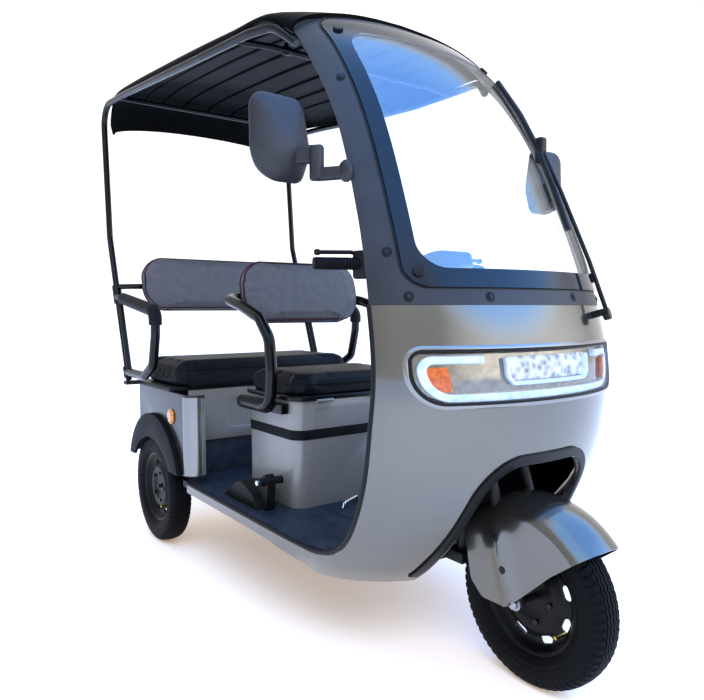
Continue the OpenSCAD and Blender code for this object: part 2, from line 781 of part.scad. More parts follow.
// Armrest loops, the bar that carries the bench's backrest and its sleeves on the posts.
arm_bend = 38;
arm_fore = [-1330, post_y, 885];
sleeve_z = 945;
arm_low_z = 644;
back_end = post_at(back_bar_z);
// Second upright, just in front of the post
upright_at = [24, 0, 0];
module bench_frame() {
    color("#131315") difference() {
        union() {
            both_sides() {
                bent([post_at(arm_low_z), [-1455, post_y, arm_low_z], [-1366, post_y, 690],
                      [-1335, post_y, 800], arm_fore, post_at(sleeve_z)], tube_r - 1, arm_bend);
                rod(post_at(arm_low_z - 20), post_at(arm_low_z + 20), post_r + 7);
                rod(post_at(sleeve_z - 26), post_at(back_bar_z + 3), post_r + 7);
                rod(post_at(arm_low_z) + upright_at, post_at(sleeve_z) + upright_at, 10);
            }
            bent([back_end, [back_bar_x, post_y - 50, back_bar_z], [back_bar_x, 50 - post_y, back_bar_z],
                  [back_end.x, -back_end.y, back_end.z]], back_bar_r, 30);
        }
        both_sides() rod(post_at(560), post_at(1120), post_r + gap);
    }
}
function arm_at(t) = arm_fore + (post_at(sleeve_z) - arm_fore) * t;
module armrest_pads() {
    color("#1e1f22") both_sides() difference() {
        rod(arm_at(0.11), arm_at(0.84), 24);
        rod(arm_at(-0.3), arm_at(1.3), tube_r - 1 + gap);
    }
}

module side_markers() {
    color("#f0940a") both_sides() translate([-1302, side_half + gap, 508]) rotate([-90, 0, 0])
        cylinder(r = 28, h = 9, $fn = 48);
}
module tail_lamps() {
    color("#a01818") both_sides() translate([side_rear + 2 - gap, 270, 500]) rotate([90, 0, -90])
        linear_extrude(16) rounded(100, 130, 18);
}

// Running gear

hub_r = 34;
axle_tube_r = 26;
gear_r = 88;
module rear_axle() {
    color("#1f2023") translate([rear_x, 0, wheel_r]) rotate([90, 0, 0]) {
        cylinder(r = axle_tube_r, h = track - 130, center = true, $fn = 48);
        cylinder(r = axle_r, h = track + 40, center = true, $fn = 48);
        cylinder(r = gear_r, h = 120, center = true, $fn = 64);
    }
}
motor_r = 52;
module drive_motor() {
    color("#3a3c40") translate([rear_x + gear_r + motor_r + gap, -110, wheel_r - 10]) rotate([-90, 0, 0])
        cylinder(r = motor_r, h = 220, $fn = 64);
}
// Leaf springs from the frame's uprights over the axle to shackles under the rear rails.
spring_z = wheel_r + axle_tube_r + gap;
module leaf_springs() {
    fore = kick_x - gap;
    aft = rail_end + 10;
    color("#232427") both_sides() along_y(rail_half - 22, rail_half + 22) {
        polygon([[fore, 306], [rear_x + 60, spring_z + 18], [rear_x - 60, spring_z + 18], [aft, 300],
                 [aft, 286], [rear_x - 60, spring_z], [rear_x + 60, spring_z], [fore, 290]]);
        translate([aft, 290]) square([16, rear_rail_z - gap - 290]);
    }
}

// Front fork with its crown, steering stem and axle.
crown_z = 300;
module fork() {
    color("#17181a") {
        steered() {
            for (s = [-1, 1]) translate([axle_fore, s * fork_half, -axle_drop - 10])
                cylinder(r = fork_r, h = crown_z + axle_drop + 40, $fn = 48);
            translate([-18, -fork_half - 18, crown_z]) cube([axle_fore + 38, 2 * fork_half + 36, 26]);
            translate([0, 0, crown_z]) cylinder(r = stem_r, h = 480, $fn = 48);
        }
        translate([0, 0, wheel_r]) rotate([90, 0, 0])
            cylinder(r = axle_r, h = 2 * fork_half + 40, center = true, $fn = 48);
    }
}

// Painted front mudguard that turns with the fork: an arched strip with deep side skirts.
fender_half = 80;
fender_r = 246;
fender_wall = 4;
fender_rise = 44;
module fender_profile(inset) {
    half = fender_half - inset;
    top = fender_r - inset;
    polygon(concat([[0, -half]],
        [for (k = [-9:9]) [top - fender_rise + fender_rise * cos(10 * k), half * sin(10 * k)]],
        [[0, half]]));
}
// Side view of the mudguard about the wheel's middle
fender_side = [[206, 176], [260, 320], [-260, 320], [-152, 132], [-132, 22], [-104, -6], [-55, -15], [102, 98]];
module front_fender() {
    color("#8b8d8c") difference() {
        translate([0, 0, wheel_r]) rotate([90, 0, 0]) intersection() {
            rotate_extrude($fn = 96) difference() {
                fender_profile(0);
                fender_profile(fender_wall);
            }
            linear_extrude(400, center = true) polygon(fender_side);
        }
        steered() for (s = [-1, 1]) translate([axle_fore, s * fork_half, 60])
            cylinder(r = fork_r + gap, h = 400, $fn = 48);
    }
}

// Handlebar on its riser, brake levers and switch housings.
bar_x = -420;
clamp_h = 48;
bar_sweep = 60;
bar_bend_y = 150;
module handlebar() {
    color("#111113") {
        steered() translate([0, 0, crown_z + 480 + gap]) cylinder(r = 30, h = clamp_h, $fn = 48);
        bent([[bar_x - bar_sweep, -bar_half, bar_z], [bar_x, -bar_bend_y, bar_z], [-320, -90, bar_z - 36],
              [-320, 90, bar_z - 36], [bar_x, bar_bend_y, bar_z], [bar_x - bar_sweep, bar_half, bar_z]], 11, 40);
        both_sides() {
            rod([bar_x + 6, 134, bar_z], [bar_x - 10, 176, bar_z], 19);
            bent([[bar_x - 2, 155, bar_z - 6], [bar_x + 40, 176, bar_z - 8],
                  [bar_x - 4, 300, bar_z - 12]], 5, 20);
        }
    }
}
// Point on the left end of the handlebar at distance y from the middle
function grip_at(y) = [bar_x - bar_sweep * (y - bar_bend_y) / (bar_half - bar_bend_y), y, bar_z];
module grips() {
    color("#0e0e10") both_sides() difference() {
        rod(grip_at(190), grip_at(bar_half + 6), 17);
        rod(grip_at(120), grip_at(360), 11 + gap);
    }
}
module instrument_pod() {
    color("#17181b") steered() translate([-6, 0, crown_z + 480 + clamp_h + 2 * gap])
        linear_extrude(38) rounded(92, 160, 40);
}

// Wheels

module tyre_profile() {
    half = tyre_w / 2;
    bead = rim_d / 2;
    polygon(concat(
        [[bead, -half + 14], [bead + 18, -half + 2], [wheel_r - 34, -half], [wheel_r - 14, -half + 6]],
        [[wheel_r - 2, -half + 18], [wheel_r, -half + 30], [wheel_r, half - 30], [wheel_r - 2, half - 18]],
        [[wheel_r - 14, half - 6], [wheel_r - 34, half], [bead + 18, half - 2], [bead, half - 14]]));
}
module tyre() {
    color("#19191b") rotate([90, 0, 0]) rotate_extrude($fn = 96) tyre_profile();
}
rim_gap = 0.3;
slot_count = 8;
module rim() {
    bead = rim_d / 2 - rim_gap;
    half = tyre_w / 2 - 14;
    color("#141416") rotate([90, 0, 0]) difference() {
        union() {
            rotate_extrude($fn = 96) difference() {
                translate([bead - 8, -half]) square([8, 2 * half]);
            }
            difference() {
                cylinder(r = bead - 4, h = 8, center = true, $fn = 96);
                for (i = [0:slot_count - 1]) rotate(i * 360 / slot_count) translate([98, 0, 0])
                    linear_extrude(40, center = true) rounded(22, 36, 10.9);
            }
            cylinder(r = hub_r, h = 70, center = true, $fn = 64);
        }
        cylinder(r = axle_r + run, h = 200, center = true, $fn = 48);
    }
}

module placed(x, y) translate([origin_shift + x, y, wheel_r]) children();
module body() translate([origin_shift, 0, 0]) children();

body() ladder_frame();
body() rear_frame();
body() steering_head();
body() floor_pan();
body() both_sides() sill();  // sills
body() leg_shield();
body() dash();
body() front_shell();
body() arch_lip();
body() headlamp_housing();
body() headlamp_lens();
body() light_guide();
body() turn_lamps();
body() windscreen_frame();
body() windscreen();
body() wiper();
body() roof();
body() canopy_frame();
body() both_sides() mirror_housing();  // mirrors
body() mirror_glass();
body() seat_box();
body() seat_box_band();
body() battery();
body() driver_cushion();
body() driver_frame();
body() driver_backrest();
body() brake_pedal();
body() both_sides() rear_side();  // rear_sides
body() arch_flares();
body() rear_box_front();
body() toe_panel();
body() rear_panel();
body() bench_deck();
body() bench_cushion();
body() bench_frame();
body() bench_backrest();
body() armrest_pads();
body() side_markers();
body() tail_lamps();
body() rear_axle();
body() drive_motor();
body() leaf_springs();
body() fork();
body() front_fender();
body() handlebar();
body() grips();
body() instrument_pod();
placed(0, 0) tyre();  // front_tyre
placed(0, 0) rim();  // front_rim
placed(rear_x, -track / 2) tyre();  // rear_tyre_right
placed(rear_x, -track / 2) rim();  // rear_rim_right
placed(rear_x, track / 2) tyre();  // rear_tyre_left
placed(rear_x, track / 2) rim();  // rear_rim_left
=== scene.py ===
import json
import math

import bpy
from mathutils import Matrix, Vector


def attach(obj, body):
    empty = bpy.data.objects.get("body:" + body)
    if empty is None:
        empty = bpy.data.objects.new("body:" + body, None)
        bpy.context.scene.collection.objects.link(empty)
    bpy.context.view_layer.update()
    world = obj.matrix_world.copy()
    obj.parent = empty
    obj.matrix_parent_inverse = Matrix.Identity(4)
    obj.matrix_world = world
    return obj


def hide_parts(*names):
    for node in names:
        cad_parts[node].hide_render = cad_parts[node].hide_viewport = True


# %% [markdown]
# An electric passenger tricycle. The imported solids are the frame: they give every piece its place
# and carry the motion. This lesson adds the finish of each surface, and rebuilds the pieces whose
# looks depend on smooth curves: the front shell, the windscreen, the roof, the seats and the wheels.

# %% Load the solids and name the shared places
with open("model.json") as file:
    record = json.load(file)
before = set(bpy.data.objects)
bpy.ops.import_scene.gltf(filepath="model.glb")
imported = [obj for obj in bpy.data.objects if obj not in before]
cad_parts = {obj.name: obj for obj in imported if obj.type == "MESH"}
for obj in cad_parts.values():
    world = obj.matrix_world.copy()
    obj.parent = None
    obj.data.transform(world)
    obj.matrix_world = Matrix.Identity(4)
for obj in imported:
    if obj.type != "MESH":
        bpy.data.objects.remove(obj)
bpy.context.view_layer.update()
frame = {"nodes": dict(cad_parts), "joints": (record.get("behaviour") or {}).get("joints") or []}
nodes = frame["nodes"]
joints = {joint["name"]: joint for joint in frame["joints"]}
MM = 0.001
axle = Vector(joints["front_wheel_spin"]["pos_m"])
rear_axle = Vector(joints["rear_wheel_right_spin"]["pos_m"])
REAR_X = (rear_axle.x - axle.x) / MM
REAR_TRACK = 0.72
REAR_HUBS = {side: Vector((rear_axle.x, side * REAR_TRACK / 2, rear_axle.z)) for side in (-1, 1)}
RAKE = math.radians(18)
head_way = Vector((-math.sin(RAKE), 0, math.cos(RAKE)))


def at(x, y, z):
    """A point in millimetres: x ahead of the front axle, y to the left, z above the ground."""
    return Vector((axle.x + x * MM, y * MM, z * MM))


print("solids loaded:", len(nodes), "rear axle at", round(REAR_X), "mm")

# %% [markdown]
# Operators act on whatever is selected, so the first helpers clear the selection and pick one
# object. The others add a modifier and apply it, cut one shape with another, and shade by angle.


# %% Helpers for working by hand
def clear_selection():
    if bpy.context.mode != "OBJECT":
        bpy.ops.object.mode_set(mode="OBJECT")
    bpy.ops.object.select_all(action="DESELECT")


def pick(piece):
    clear_selection()
    piece.select_set(True)
    bpy.context.view_layer.objects.active = piece


def edit(piece):
    """Enters edit mode with everything selected."""
    pick(piece)
    bpy.ops.object.mode_set(mode="EDIT")
    bpy.ops.mesh.select_all(action="SELECT")


def leave_edit():
    bpy.ops.object.mode_set(mode="OBJECT")


def named(name):
    """Names the primitive that was just added, and puts its place into its mesh."""
    piece = bpy.context.object
    piece.name = name
    piece.data.name = name
    bpy.ops.object.transform_apply(location=True, rotation=True, scale=True)
    return piece


def apply_modifier(piece, kind, **settings):
    pick(piece)
    modifier = piece.modifiers.new(kind.lower(), kind)
    for key, value in settings.items():
        setattr(modifier, key, value)
    bpy.ops.object.modifier_apply(modifier=modifier.name)


def cut(piece, tool, operation="DIFFERENCE"):
    apply_modifier(piece, "BOOLEAN", operation=operation, solver="EXACT", object=tool)
    bpy.data.objects.remove(tool)


def join(name, pieces):
    clear_selection()
    for piece in pieces:
        piece.select_set(True)
    bpy.context.view_layer.objects.active = pieces[0]
    if len(pieces) > 1:
        bpy.ops.object.join()
    pieces[0].name = name
    pieces[0].data.name = name
    return pieces[0]


def ease_edges(piece, width, segments=3):
    apply_modifier(piece, "BEVEL", width=width, segments=segments, limit_method="ANGLE", angle_limit=0.9)


def shade(piece, degrees=35):
    pick(piece)
    bpy.ops.object.shade_smooth_by_angle(angle=math.radians(degrees))


def outward(piece):
    edit(piece)
    bpy.ops.mesh.remove_doubles(threshold=0.00001)
    bpy.ops.mesh.normals_make_consistent(inside=False)
    leave_edit()


def shaped_grid(name, across, up, place):
    """A flat grid whose points move to place(u, v), with u and v from 0 to 1."""
    clear_selection()
    bpy.ops.mesh.primitive_grid_add(x_subdivisions=across, y_subdivisions=up, size=1)
    piece = named(name)
    for vertex in piece.data.vertices:
        vertex.co = place(vertex.co.x + 0.5, vertex.co.y + 0.5)
    return piece


def trim(piece, place, normal):
    """Cuts a piece flat at a place and keeps the side that the normal points to."""
    edit(piece)
    bpy.ops.mesh.bisect(plane_co=place, plane_no=normal, use_fill=True, clear_inner=True)
    leave_edit()


def thin_sheet(name, across, up, place, wall):
    """A shaped grid with a wall that grows to both sides."""
    piece = shaped_grid(name, across, up, place)
    apply_modifier(piece, "SOLIDIFY", thickness=wall, offset=0)
    outward(piece)
    shade(piece, 40)
    return piece


def plate(name, outline, depth):
    """A filled ring moved to the outline's points and extruded by the vector depth."""
    clear_selection()
    bpy.ops.mesh.primitive_circle_add(vertices=len(outline), fill_type="NGON")
    piece = named(name)
    for vertex, point in zip(piece.data.vertices, outline):
        vertex.co = point
    edit(piece)
    bpy.ops.mesh.extrude_region_move(TRANSFORM_OT_translate={"value": depth})
    bpy.ops.mesh.select_all(action="SELECT")
    bpy.ops.mesh.normals_make_consistent(inside=False)
    leave_edit()
    return piece


def round_corners(corners, steps=8):
    """Points of a closed outline whose corners, given as (a, b, radius), are arcs."""
    points = []
    for i, (a, b, radius) in enumerate(corners):
        here = Vector((a, b))
        before = (Vector(corners[i - 1][:2]) - here).normalized()
        after = (Vector(corners[(i + 1) % len(corners)][:2]) - here).normalized()
        half = before.angle(after) / 2
        centre = here + (before + after).normalized() * radius / math.sin(half)
        first = here + before * radius / math.tan(half) - centre
        turn = math.pi - 2 * half
        if before.x * after.y - before.y * after.x > 0:
            turn = -turn
        for k in range(steps + 1):
            swing = Matrix.Rotation(turn * k / steps, 2)
            points.append(tuple(centre + swing @ first))
    return points


def round_box(w, h, radius, steps=8):
    """A rectangle of half width w and half height h with round corners."""
    return round_corners([(-w, -h, radius), (w, -h, radius), (w, h, radius), (-w, h, radius)], steps)


def bent_path(points, bend, steps=8):
    """Points along a line whose inner corners are arcs of radius bend, in metres."""
    path = [points[0]]
    for before, here, after in zip(points, points[1:], points[2:]):
        come = (here - before).normalized()
        go = (after - here).normalized()
        turn = come.angle(go)
        if turn < 0.01:
            path.append(here)
            continue
        inward = (go - come * come.dot(go)).normalized()
        centre = here - come * bend * math.tan(turn / 2) + inward * bend
        for k in range(steps + 1):
            part = turn * k / steps
            path.append(centre + bend * (come * math.sin(part) - inward * math.cos(part)))
    return path + [points[-1]]


def tube(name, points, radius, bend=0.04, closed=False):
    """A round bar along points: a curve with a round bevel that is turned into a mesh."""
    path = points if closed or bend == 0 else bent_path(points, bend)
    clear_selection()
    bpy.ops.curve.primitive_bezier_curve_add()
    bar = bpy.context.object
    bar.data.splines.clear()
    spline = bar.data.splines.new("POLY")
    spline.points.add(len(path) - 1)
    for knot, point in zip(spline.points, path):
        knot.co = (*point, 1)
    spline.use_cyclic_u = closed
    bar.data.dimensions = "3D"
    bar.data.bevel_depth = radius
    bar.data.bevel_resolution = 4
    bar.data.use_fill_caps = True
    bpy.ops.object.convert(target="MESH")
    bar = named(name)
    outward(bar)
    shade(bar, 40)
    return bar


def drum(name, centre, radius, depth, axis="Y", sides=48, bevel=0.0):
    """A turned disc about X, Y or Z with its edges eased."""
    turns = {"X": (0, math.pi / 2, 0), "Y": (math.pi / 2, 0, 0), "Z": (0, 0, 0)}
    clear_selection()
    bpy.ops.mesh.primitive_cylinder_add(
        vertices=sides, radius=radius, depth=depth, location=centre, rotation=turns[axis]
    )
    piece = named(name)
    if bevel:
        ease_edges(piece, bevel)
    shade(piece)
    return piece


def mirrored(piece, name):
    """A copy on the other side of the vehicle, with its own mesh and its faces outwards."""
    pick(piece)
    bpy.ops.object.duplicate()
    copy = bpy.context.object
    bpy.ops.transform.mirror(constraint_axis=(False, True, False), center_override=(0, 0, 0))
    copy = named(name)
    edit(copy)
    bpy.ops.mesh.normals_make_consistent(inside=False)
    leave_edit()
    return copy


def settle(piece, body, material, replaces=()):
    """The finish of a piece, the body it moves with and the solids that it stands for."""
    piece.data.materials.clear()
    piece.data.materials.append(material)
    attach(piece, body)
    if replaces:
        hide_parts(*replaces)
    piece.data.calc_loop_triangles()
    print(f"{piece.name}: {len(piece.data.loop_triangles)} triangles on {body}")
    return piece


def refined(node, material, name=None, bevel=0.0, angle=30, body="chassis"):
    """A copy of a solid with merged points, eased edges and smooth shading."""
    clear_selection()
    solid = nodes[node]
    copy = bpy.data.objects.new(name or node + "_finish", solid.data.copy())
    bpy.context.scene.collection.objects.link(copy)
    edit(copy)
    bpy.ops.mesh.customdata_custom_splitnormals_clear()
    bpy.ops.mesh.remove_doubles(threshold=0.00002)
    bpy.ops.mesh.dissolve_limited(angle_limit=math.radians(0.6))
    leave_edit()
    if bevel:
        apply_modifier(copy, "BEVEL", width=bevel, segments=3, limit_method="ANGLE",
                       angle_limit=math.radians(angle), use_clamp_overlap=True)
    shade(copy, angle)
    return settle(copy, body, material, (node,))


print("helpers ready")

# %% [markdown]
# The camera stands where the photograph was taken from: in front of the vehicle's right corner, a
# little below the top of its front shell. Its lens follows from the photograph's own perspective.

# %% Camera
IMAGE_W = 704
FOCAL_PX = 666.5
SENSOR_MM = 36.0
EYE = at(1003.6, -1256.0, 886.5)
YAW, PITCH, ROLL = (math.radians(a) for a in (35.674, 3.413, -0.156))
look = Vector((-math.cos(YAW) * math.cos(PITCH), math.sin(YAW) * math.cos(PITCH), -math.sin(PITCH)))
bpy.ops.object.camera_add(location=EYE)
camera = bpy.context.object
camera.name = "camera"
turn = look.to_track_quat("-Z", "Y").to_matrix() @ Matrix.Rotation(ROLL, 3, "Z")
camera.rotation_euler = turn.to_euler()
camera.data.sensor_width = SENSOR_MM
camera.data.lens = FOCAL_PX / IMAGE_W * SENSOR_MM
camera.data.clip_end = 200
bpy.context.scene.camera = camera
bpy.context.scene.view_settings.view_transform = "Standard"
print("lens", round(camera.data.lens, 2), "mm")


# %% [markdown]
# A finish starts from a principled shader. One function turns the written sRGB colours to linear
# light, and one adds a node with its settings and links. Pattern sizes are real millimetres: the
# scale of a texture is one divided by the size of its grain.


# %% Helpers for finishes
def linear(colour):
    parts = [int(colour[i:i + 2], 16) / 255 for i in (1, 3, 5)]
    return (*[p / 12.92 if p <= 0.04045 else ((p + 0.055) / 1.055) ** 2.4 for p in parts], 1.0)


def per(size_mm):
    """Texture scale for a grain of that size."""
    return 1 / (size_mm * MM)


def add(tree, kind, settings, inputs):
    """A new node with its settings. An input is a value or the socket that it is linked to."""
    made = tree.nodes.new(kind)
    for key, value in settings.items():
        setattr(made, key, value)
    for socket, value in inputs.items():
        if isinstance(value, bpy.types.NodeSocket):
            tree.links.new(value, made.inputs[socket])
        else:
            made.inputs[socket].default_value = value
    return made


def finish_start(name, colour, **sockets):
    """A new material with its shader's sockets set, and the place that its patterns start from."""
    material = bpy.data.materials.new(name)
    material.use_nodes = True
    tree = material.node_tree
    shader = tree.nodes["Principled BSDF"]
    shader.inputs["Base Color"].default_value = linear(colour)
    for socket, value in sockets.items():
        shader.inputs[socket.replace("_", " ")].default_value = value
    place = add(tree, "ShaderNodeTexCoord", {}, {}).outputs["Object"]
    return material, tree, shader, place


def tone(tree, shader, height, dark, light, socket="Base Color", low=0.3, high=0.7):
    """Colours a surface between two tones by a pattern's height."""
    ramp = add(tree, "ShaderNodeValToRGB", {}, {"Fac": height})
    ramp.color_ramp.elements[0].color = linear(dark)
    ramp.color_ramp.elements[1].color = linear(light)
    ramp.color_ramp.elements[0].position = low
    ramp.color_ramp.elements[1].position = high
    tree.links.new(ramp.outputs["Color"], shader.inputs[socket])


def relief(tree, shader, height, depth_mm, strength=1.0, socket="Normal"):
    bump = add(tree, "ShaderNodeBump", {},
               {"Height": height, "Distance": depth_mm * MM, "Strength": strength})
    tree.links.new(bump.outputs["Normal"], shader.inputs[socket])


def wear(tree, shader, height, smooth, rough):
    """Roughness between two values by a pattern's height."""
    spread = add(tree, "ShaderNodeMapRange", {}, {"Value": height, "To Min": smooth, "To Max": rough})
    tree.links.new(spread.outputs["Result"], shader.inputs["Roughness"])


# %% [markdown]
# The shell, the mudguard and the rear sides are sheet steel in a metallic grey base coat under clear
# lacquer. Small flakes sparkle in the base coat. They are finer than a pixel, so they are drawn as
# coarse as they need to be to show.


# %% Finishes of the painted metal
def lacquered_paint(name, dark, light, metallic, rough, coat, gloss=0.5):
    material, tree, shader, place = finish_start(
        name, light, Metallic=metallic, Coat_Weight=coat, Coat_Roughness=0.03, Specular_IOR_Level=gloss
    )
    flakes = add(tree, "ShaderNodeTexNoise", {}, {"Vector": place, "Scale": per(1.6), "Detail": 2.0})
    tone(tree, shader, flakes.outputs["Fac"], dark, light)
    wear(tree, shader, flakes.outputs["Fac"], rough - 0.05, rough + 0.05)
    peel = add(tree, "ShaderNodeTexNoise", {}, {"Vector": place, "Scale": per(9), "Detail": 1.0})
    relief(tree, shader, peel.outputs["Fac"], 0.02, 0.5)
    return material


silver_paint = lacquered_paint("metallic_grey_lacquer", "#605f5b", "#706f6a", 0.9, 0.17, 0.6)
box_paint = lacquered_paint("satin_silver_sheet_steel", "#7b7b7b", "#8b8b8a", 0.2, 0.34, 0.3)
side_paint = lacquered_paint("dark_grey_body_lacquer", "#2d2b29", "#363431", 0.45, 0.3, 0.25)
# Bright silver is the headlamp trim's finish, and also a painted highlight on the rear pillars.
trim_and_painted_highlight_paint = lacquered_paint("bright_silver_lacquer", "#7a7a79", "#919190", 0.85, 0.22, 0.4)
lip_paint = lacquered_paint("slate_lip_lacquer", "#0a0b0c", "#0f1012", 0.2, 0.45, 0.0, 0.25)
tube_enamel = lacquered_paint("black_tube_enamel", "#060607", "#0a0b0d", 0.0, 0.24, 0.12, 0.22)
frame_enamel = lacquered_paint("black_frame_enamel", "#101113", "#17181b", 0.0, 0.45, 0.0, 0.25)
rim_enamel = lacquered_paint("black_wheel_enamel", "#040405", "#080809", 0.0, 0.36, 0.0, 0.16)
print("painted metal:", silver_paint.name, box_paint.name, tube_enamel.name)

# %% [markdown]
# The windscreen frame, the roof and the mirrors are moulded ABS with a spark-eroded grain: small
# pits that break up the gloss. The same recipe with other tones serves the floor and the lamp trim.


# %% Finishes of plastic and rubber
def grained_plastic(name, dark, light, grain_mm, rough, depth_mm=0.12, gloss=0.2):
    material, tree, shader, place = finish_start(name, light, Specular_IOR_Level=gloss)
    grain = add(tree, "ShaderNodeTexVoronoi", {"feature": "SMOOTH_F1"},
                {"Vector": place, "Scale": per(grain_mm)})
    cloud = add(tree, "ShaderNodeTexNoise", {}, {"Vector": place, "Scale": per(60), "Detail": 3.0})
    tone(tree, shader, cloud.outputs["Fac"], dark, light)
    wear(tree, shader, cloud.outputs["Fac"], rough - 0.06, rough + 0.06)
    relief(tree, shader, grain.outputs["Distance"], depth_mm, 0.6)
    return material


frame_plastic = grained_plastic("charcoal_grained_abs", "#1b1c21", "#24252b", 2.2, 0.44, gloss=0.38)
roof_plastic = grained_plastic("black_vacuum_formed_abs", "#030405", "#07080a", 3.0, 0.46, gloss=0.03)
flare_plastic = grained_plastic("grey_moulded_polypropylene", "#090b0d", "#0f1114", 2.0, 0.55, gloss=0.1)
# The mat is black rubber; its blue-grey tone is a painted tint of the blue sky light.
floor_rubber_painted_sky_tint = grained_plastic("black_floor_rubber_painted_sky_tint", "#1c2330", "#2b3443", 2.5, 0.5)
grip_rubber = grained_plastic("black_grip_rubber", "#07080a", "#0d0e11", 1.8, 0.6)
# The tyres' faint blue cast is a painted tint of blue sky light on black rubber.
tyre_rubber = grained_plastic("tyre_rubber", "#030406", "#080a0e", 2.6, 0.6, 0.15, gloss=0.09)
seal_rubber = grained_plastic("black_seal_rubber", "#0b0b0c", "#111113", 2.0, 0.5)
lamp_plastic = grained_plastic("black_lamp_trim_abs", "#0b0c0d", "#15161a", 4.0, 0.25, 0.02)
print("plastic and rubber:", frame_plastic.name, roof_plastic.name)

# %% [markdown]
# The seats wear black vinyl leathercloth. On the backrests it is painted a lighter charcoal, a painted sheen
# of the bright sky that their faces catch. Its embossed grain is a field of small cells with soft creases
# between them, and a slow change of tone where it is stretched over the foam.


# %% Finish of the seats
def leathercloth(name, dark, light, rough, gloss=0.2):
    material, tree, shader, place = finish_start(name, light, Specular_IOR_Level=gloss)
    cells = add(tree, "ShaderNodeTexVoronoi", {"feature": "F1"}, {"Vector": place, "Scale": per(3.2)})
    crease = add(tree, "ShaderNodeTexNoise", {}, {"Vector": place, "Scale": per(28), "Detail": 4.0})
    both = add(tree, "ShaderNodeMath", {"operation": "MULTIPLY_ADD"},
               {0: crease.outputs["Fac"], 1: 0.9, 2: cells.outputs["Distance"]})
    tone(tree, shader, crease.outputs["Fac"], dark, light)
    wear(tree, shader, crease.outputs["Fac"], rough - 0.06, rough + 0.08)
    relief(tree, shader, both.outputs["Value"], 0.35, 0.45)
    return material


# The cushions' faint blue cast is a painted tint of blue sky light on black vinyl.
seat_vinyl_painted_sky_tint = leathercloth("black_vinyl_leathercloth_painted_sky_tint", "#05070a", "#0a0d12", 0.52, gloss=0.13)
# The backrests' charcoal is painted sky sheen: their vinyl is the same black as the cushions, painted
# lighter.
back_vinyl_painted_sky_sheen = leathercloth("black_vinyl_painted_charcoal_sky_sheen", "#505258", "#585a61", 0.46)
piping_vinyl = leathercloth("maroon_edge_piping", "#250d14", "#36131d", 0.42)
print("seat finishes:", seat_vinyl_painted_sky_tint.name, back_vinyl_painted_sky_sheen.name)

# %% [markdown]
# Clear parts keep one shader each, with their strength on its own sockets. The windscreen's wide border is
# printed in gloss black behind the clear panel, which is why it mirrors the sky so well; its navy tone is a
# painted tint of that sky reflection.


# %% Finishes of glass, lamps and bright metal
def clear_finish(name, colour, alpha, rough=0.02, metallic=0.0):
    material, tree, shader, place = finish_start(
        name, colour, Alpha=alpha, Coat_Weight=1.0, Metallic=metallic
    )
    streak = add(tree, "ShaderNodeTexNoise", {}, {"Vector": place, "Scale": per(90), "Detail": 2.0})
    wear(tree, shader, streak.outputs["Fac"], rough, rough + 0.02)
    return material


def bright_metal(name, dark, light, rough):
    material, tree, shader, place = finish_start(name, light, Metallic=1.0)
    haze = add(tree, "ShaderNodeTexNoise", {}, {"Vector": place, "Scale": per(14), "Detail": 2.0})
    tone(tree, shader, haze.outputs["Fac"], dark, light)
    wear(tree, shader, haze.outputs["Fac"], rough, rough + 0.06)
    return material


def lamp_plastic_finish(name, dark, light, glow=0.0, cell_mm=6, depth_mm=0.6):
    material, tree, shader, place = finish_start(name, light, Coat_Weight=1.0, Roughness=0.2)
    prisms = add(tree, "ShaderNodeTexVoronoi", {"feature": "F1"}, {"Vector": place, "Scale": per(cell_mm)})
    tone(tree, shader, prisms.outputs["Distance"], dark, light, low=0.1, high=0.8)
    relief(tree, shader, prisms.outputs["Distance"], depth_mm, 0.5)
    if glow:
        shader.inputs["Emission Color"].default_value = linear(light)
        shader.inputs["Emission Strength"].default_value = glow
    return material


screen_clear = clear_finish("clear_polycarbonate", "#e8f0f8", 0.14, metallic=1.0)
cover_clear = clear_finish("clear_lamp_cover", "#2c343d", 0.1)
# The border print is black; its navy tone is painted sky reflection.
border_print_painted_sky_tint = lacquered_paint("gloss_black_screen_border_painted_sky_tint", "#060f1c", "#0a1728", 0.0, 0.12, 0.28, 0.15)
chrome = bright_metal("chrome_plate", "#c9ccd0", "#dadde0", 0.06)
reflector = bright_metal("vacuum_metallised_reflector", "#928d84", "#aba69d", 0.08)
mirror_silver = bright_metal("silvered_mirror_glass", "#d5dade", "#dfe3e6", 0.02)
brass = bright_metal("brass_valve", "#a8853c", "#c7a255", 0.25)
steel = bright_metal("zinc_plated_steel", "#8f9296", "#a9acb0", 0.3)
dark_steel = bright_metal("phosphated_steel", "#2a2b2e", "#3a3c40", 0.34)
white_lamp = lamp_plastic_finish("white_light_guide", "#abcdf0", "#d3e7fb", 0.12, 20, 0.1)
amber_lamp = lamp_plastic_finish("amber_lamp_acrylic", "#8e3400", "#e06a00", 0.1)
side_amber = lamp_plastic_finish("yellow_amber_acrylic", "#8a4a00", "#d98a12", 0.05)
red_lamp = lamp_plastic_finish("red_lamp_acrylic", "#6e0a0c", "#b0191a")
lens_plastic = lamp_plastic_finish("clear_fluted_lens", "#6b7783", "#e2e9ee", 0.0, 17, 2.2)
print("clear, lamp and metal finishes ready")

# %% [markdown]
# The floor is plain and pale, and the light is that of an open yard: white almost everywhere, a field
# of blue sky ahead of the vehicle, which the windscreen and the paint below it mirror, and a pale grey
# side to its right. Each field is a direction, and how close a ray comes to that direction decides its
# colour. One large lamp adds the shadows, and is kept out of the mirror images.

